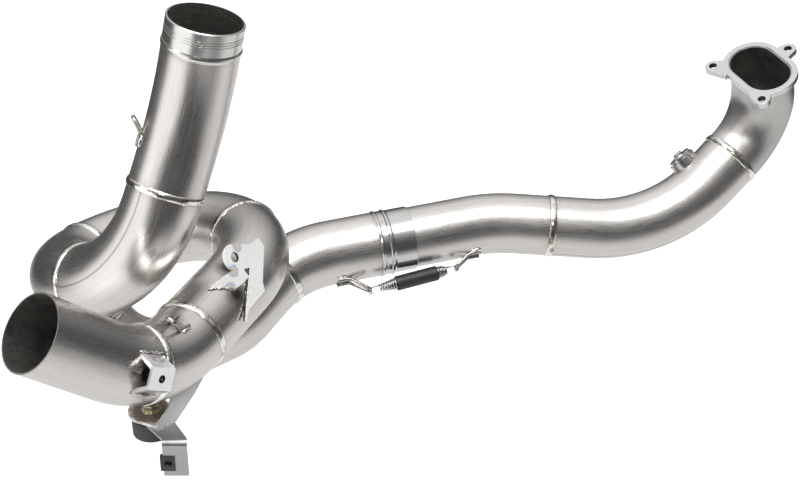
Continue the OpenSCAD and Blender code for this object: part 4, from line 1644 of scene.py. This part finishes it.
@dataclass
class Fittings:
    """Hooks, spring, brackets and the hanger."""

    looks: Finishes

    def build(self) -> None:
        """Build every fitting."""
        looks = self.looks
        WireHook("inlet_hook", REAR, REAR.on_bend(1, 0.86), 40, PIPES.main, 12, 9, -1).build(looks)
        WireHook("elbow_hook", REAR, *ELBOW_HOOK, PIPES.main, 10, 11, 1).build(looks)
        near = WireHook("slip_hook_front", FRONT, FRONT.on_leg(3, 0.03), -128, PIPES.front, 17, 9.5, 1)
        far = WireHook("slip_hook_rear", FRONT, FRONT.on_leg(3, 0.935), -128, PIPES.cross, 19, 13, -1)
        near.build(looks)
        far.build(looks)
        up = FRONT.outward(near.station, near.clock)
        JointSpring(near.crown_centre(), far.crown_centre(), up).build(looks)
        self.brackets()

    def brackets(self) -> None:
        """Draw the brackets and the hanger again with rounded edges and heat tint."""
        looks = self.looks
        lug = REAR.skin_frame(*LUG, PIPES.main / 2)
        nut = REAR.skin_frame(*HAT, PIPES.main / 2)
        cut_edges = (spot(lug, -11, -33, 2), spot(lug, 5.5, -21.5, 2), spot(lug, 14, -12, -2.5))
        feet = (spot(nut, 0, -14, 0), spot(nut, 0, 15, 0))
        gusset = SheetFinish("gusset sheet", (0.97, 0.96, 0.95), 0.26, cut_edges, 0.0062, 0.65, 0.25)
        hat = SheetFinish("hat sheet", (0.86, 0.86, 0.87), 0.18, feet, 0.009, metallic=0.7)
        # The strap's dark brown round its foot is heat colour and a painted dark reflection of its flat.
        strap = SheetFinish("strap sheet", (0.90, 0.90, 0.90), 0.28, (HANGER_FOOT,), 0.019, 0.95, 0.35, BROWN_TINTS_AND_DARK_REFLECTION)
        for end in (-1, 1):
            foot = ((-11, end * 15.4, -4.2), (0, end * 15.8, -4.4), (11, end * 15.4, -4.2))
            WeldRun(f"nut_bracket_weld_{'a' if end < 0 else 'b'}", nut, foot).build(looks)
        WeldRun("gusset_tongue_weld", lug, ((12, -9, -1.2), (18, -15.5, -4.2), (28, -22.5, -9.8)), 1.5).build(looks)
        # Painted shadow: a black run fills the gap under the gusset's slot edge.
        WeldRun("gusset_slot_weld", lug, ((-11, -13, 0.8), (10, 2.5, 0.8), (23, 14, -0.6)), 1.2, dark=True).build(looks)
        # Painted shade: the faces in the gusset's hole and the nut bracket's hole take the black finish.
        lug_hole = (spot(lug, -3, -28.5, 0.95),)
        hat_hole = (spot(nut, 0, 0, 10.75),)
        Softened("gusset_bracket", Slot.BRACKET, bores=lug_hole).build(gusset.build(), looks.painted_shade)
        folded = Softened("nut_bracket", Slot.BRACKET, 0.6 * MM, 3, bores=hat_hole, bore_reach=3.5 * MM)
        folded.build(hat.build(), looks.painted_shade)
        Softened("hanger_strap", Slot.BRACKET).build(strap.build())
        Softened("weld_nut", Slot.TURNED).build(looks.turned)
        Softened("mount_nut", Slot.ZINC).build(looks.zinc)
        Softened("mount_washer", Slot.ZINC, 0.25 * MM).build(looks.zinc)
        Softened("mount_stud", Slot.TURNED).build(looks.turned)
        Softened("mount_insert", Slot.TURNED).build(looks.turned)
        Softened("rubber_mount", Slot.RUBBER, 1.2 * MM, 4).build(looks.rubber)
        Softened("clip_bracket", Slot.SHEET).build(looks.sheet)
        Softened("clip_nut", Slot.CLIP, 0.25 * MM).build(looks.clip)


@dataclass
class Studio:
    """Camera, lamps, white backdrop and floor."""

    camera_at: Vector = Vector((-0.312, -1.296, 0.576))
    tilt: float = 60.0
    lens: float = 72.0
    floor_z: float = -0.42
    floor_size: float = 14.0
    flag_radius: float = 1.15
    flag_back: float = 0.10
    flag_front: float = 0.50
    flag_level: float = 0.05
    panel_at: tuple[float, float, float] = (-1.30, -0.76, 0.05)
    panel_size: float = 0.5
    panel_level: float = 1.4
    floor_seen: float = 0.62
    floor_mirrored: float = 0.85
    world_lean: float = 0.27
    cards: tuple[tuple[tuple[float, float], float, float], ...] = (
        ((0.20, -0.95), 0.52, 0.25), ((-1.25, 0.25), 0.5, 0.2), ((-1.0, -0.85), 0.55, 1.7),
    )

    def build(self) -> None:
        """Build the whole studio."""
        self.camera()
        self.world()
        self.floor()
        self.flag()
        self.lamp("overhead lamp", (-0.45, -0.50, 1.30), (-0.45, -0.15, -0.1), (1.2, 0.55), 17)
        self.lamp("left lamp", (-1.55, -0.75, 0.75), (-0.45, -0.2, -0.05), (0.5, 0.9), 4)
        self.lamp("front lamp", (-0.35, -1.9, 1.25), (-0.3, -0.2, -0.1), (0.5, 0.3), 6)

    def camera(self) -> None:
        """Create the camera at the photograph's viewing angle."""
        data = bpy.data.cameras.new("camera")
        data.lens = self.lens
        data.sensor_width = 36
        data.clip_end = 50
        thing = add_object("camera", data)
        thing.location = self.camera_at
        thing.rotation_euler = (math.radians(self.tilt), 0, 0)
        bpy.context.scene.camera = thing

    @staticmethod
    def lamp(name: str, at: tuple[float, ...], to: tuple[float, ...], size: tuple[float, float], power: float) -> None:
        """Create a soft rectangular lamp that shines from one point to another.

        Args:
            name: Name of the lamp.
            at: Where it stands.
            to: Point that it shines at.
            size: Width and height of its face.
            power: Power in watts.
        """
        data = bpy.data.lights.new(name, "AREA")
        data.shape = "RECTANGLE"
        data.size, data.size_y = size
        data.energy = power
        thing = add_object(name, data)
        thing.location = at
        thing.rotation_euler = (Vector(to) - Vector(at)).to_track_quat("-Z", "Y").to_euler()

    def world(self) -> None:
        """Make the surroundings bright overhead and behind, dark round the horizon, and white for the camera."""
        world = bpy.data.worlds.new("studio")
        bpy.context.scene.world = world
        world.use_nodes = True
        graph = Graph(world.node_tree)
        shader = world.node_tree.nodes["Background"]
        place = graph.add("ShaderNodeTexCoord").outputs["Generated"]
        parts = graph.add("ShaderNodeSeparateXYZ", None, {0: place}).outputs
        height = graph.math("ADD", parts["Z"], graph.math("MULTIPLY", parts["Y"], self.world_lean))
        fade = graph.ramp(height, (
            (0.0, (0.14, 0.14, 0.14)),
            (0.35, (0.18, 0.18, 0.18)),
            (0.62, (0.50, 0.50, 0.50)),
            (0.85, (0.95, 0.95, 0.95)),
            (1.0, (1.05, 1.05, 1.05)),
        ))
        seen = graph.add("ShaderNodeLightPath").outputs["Is Camera Ray"]
        graph.tree.links.new(graph.mix(seen, fade, (1, 1, 1, 1)), shader.inputs["Color"])

    def floor(self) -> None:
        """Lay a white floor that keeps the object's shadow, with dark cards on it that only reflections show."""
        bm = bmesh.new()
        bmesh.ops.create_grid(bm, x_segments=1, y_segments=1, size=self.floor_size / 2,
                              matrix=Matrix.Translation((0, 0, self.floor_z)))
        material, graph, shader = new_material("studio floor")
        rays = graph.add("ShaderNodeLightPath").outputs
        place = graph.object_coordinates()
        card = 1.0
        for middle, size, level in self.cards:
            far = graph.distance(place, Vector((*middle, self.floor_z)))
            card = graph.math("MULTIPLY", graph.remap(far, 0.35 * size, size, level, 1.0), card)
        lit = graph.math("MULTIPLY", rays["Is Camera Ray"], self.floor_seen)
        mirrored = graph.math("MULTIPLY", graph.math("MULTIPLY", rays["Is Glossy Ray"], self.floor_mirrored), card)
        wire(graph, shader, {
            "Base Color": graph.mix(rays["Is Glossy Ray"], (0.85, 0.85, 0.85, 1), (0.08, 0.08, 0.08, 1)),
            "Roughness": 0.9,
            "Emission Color": (1, 1, 1, 1),
            "Emission Strength": graph.math("ADD", lit, mirrored),
        })
        mesh_object("floor", bm, (material,))

    def flag(self) -> None:
        """Stand a dark screen with a bright panel on its left round the object, that only reflections show."""
        bm = bmesh.new()
        centre = Vector((-0.3, -0.2, self.floor_z))
        bmesh.ops.create_circle(bm, radius=self.flag_radius, segments=64, matrix=Matrix.Translation(centre))
        made = bmesh.ops.extrude_edge_only(bm, edges=bm.edges[:])["geom"]
        for vert in (g for g in made if isinstance(g, bmesh.types.BMVert)):
            front = (1 - (vert.co - centre).normalized().y) / 2
            vert.co.z = self.flag_back + (self.flag_front - self.flag_back) * front
        material, graph, shader = new_material("dark screen")
        far = graph.distance(graph.object_coordinates(), Vector(self.panel_at))
        size = self.panel_size
        wire(graph, shader, {
            "Base Color": (0.03, 0.03, 0.03, 1),
            "Roughness": 0.9,
            "Emission Color": (1, 1, 1, 1),
            "Emission Strength": graph.remap(far, size, 1.2 * size, self.panel_level, self.flag_level),
        })
        thing = mesh_object("flag", bm, (material,))
        thing.visible_camera = thing.visible_diffuse = thing.visible_shadow = thing.visible_transmission = False


def main() -> None:
    """Load the frame and build the header's looks round it."""
    logging.basicConfig(level=logging.INFO, format="%(message)s")
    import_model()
    bpy.context.scene.view_settings.view_transform = "Standard"
    make_grain()
    make_heat()
    make_wear()
    looks = Finishes()
    Studio().build()
    FrontPrimary(looks).build()
    RearLoop(looks).build()
    Fittings(looks).build()
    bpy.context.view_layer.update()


if __name__ == "__main__":
    main()
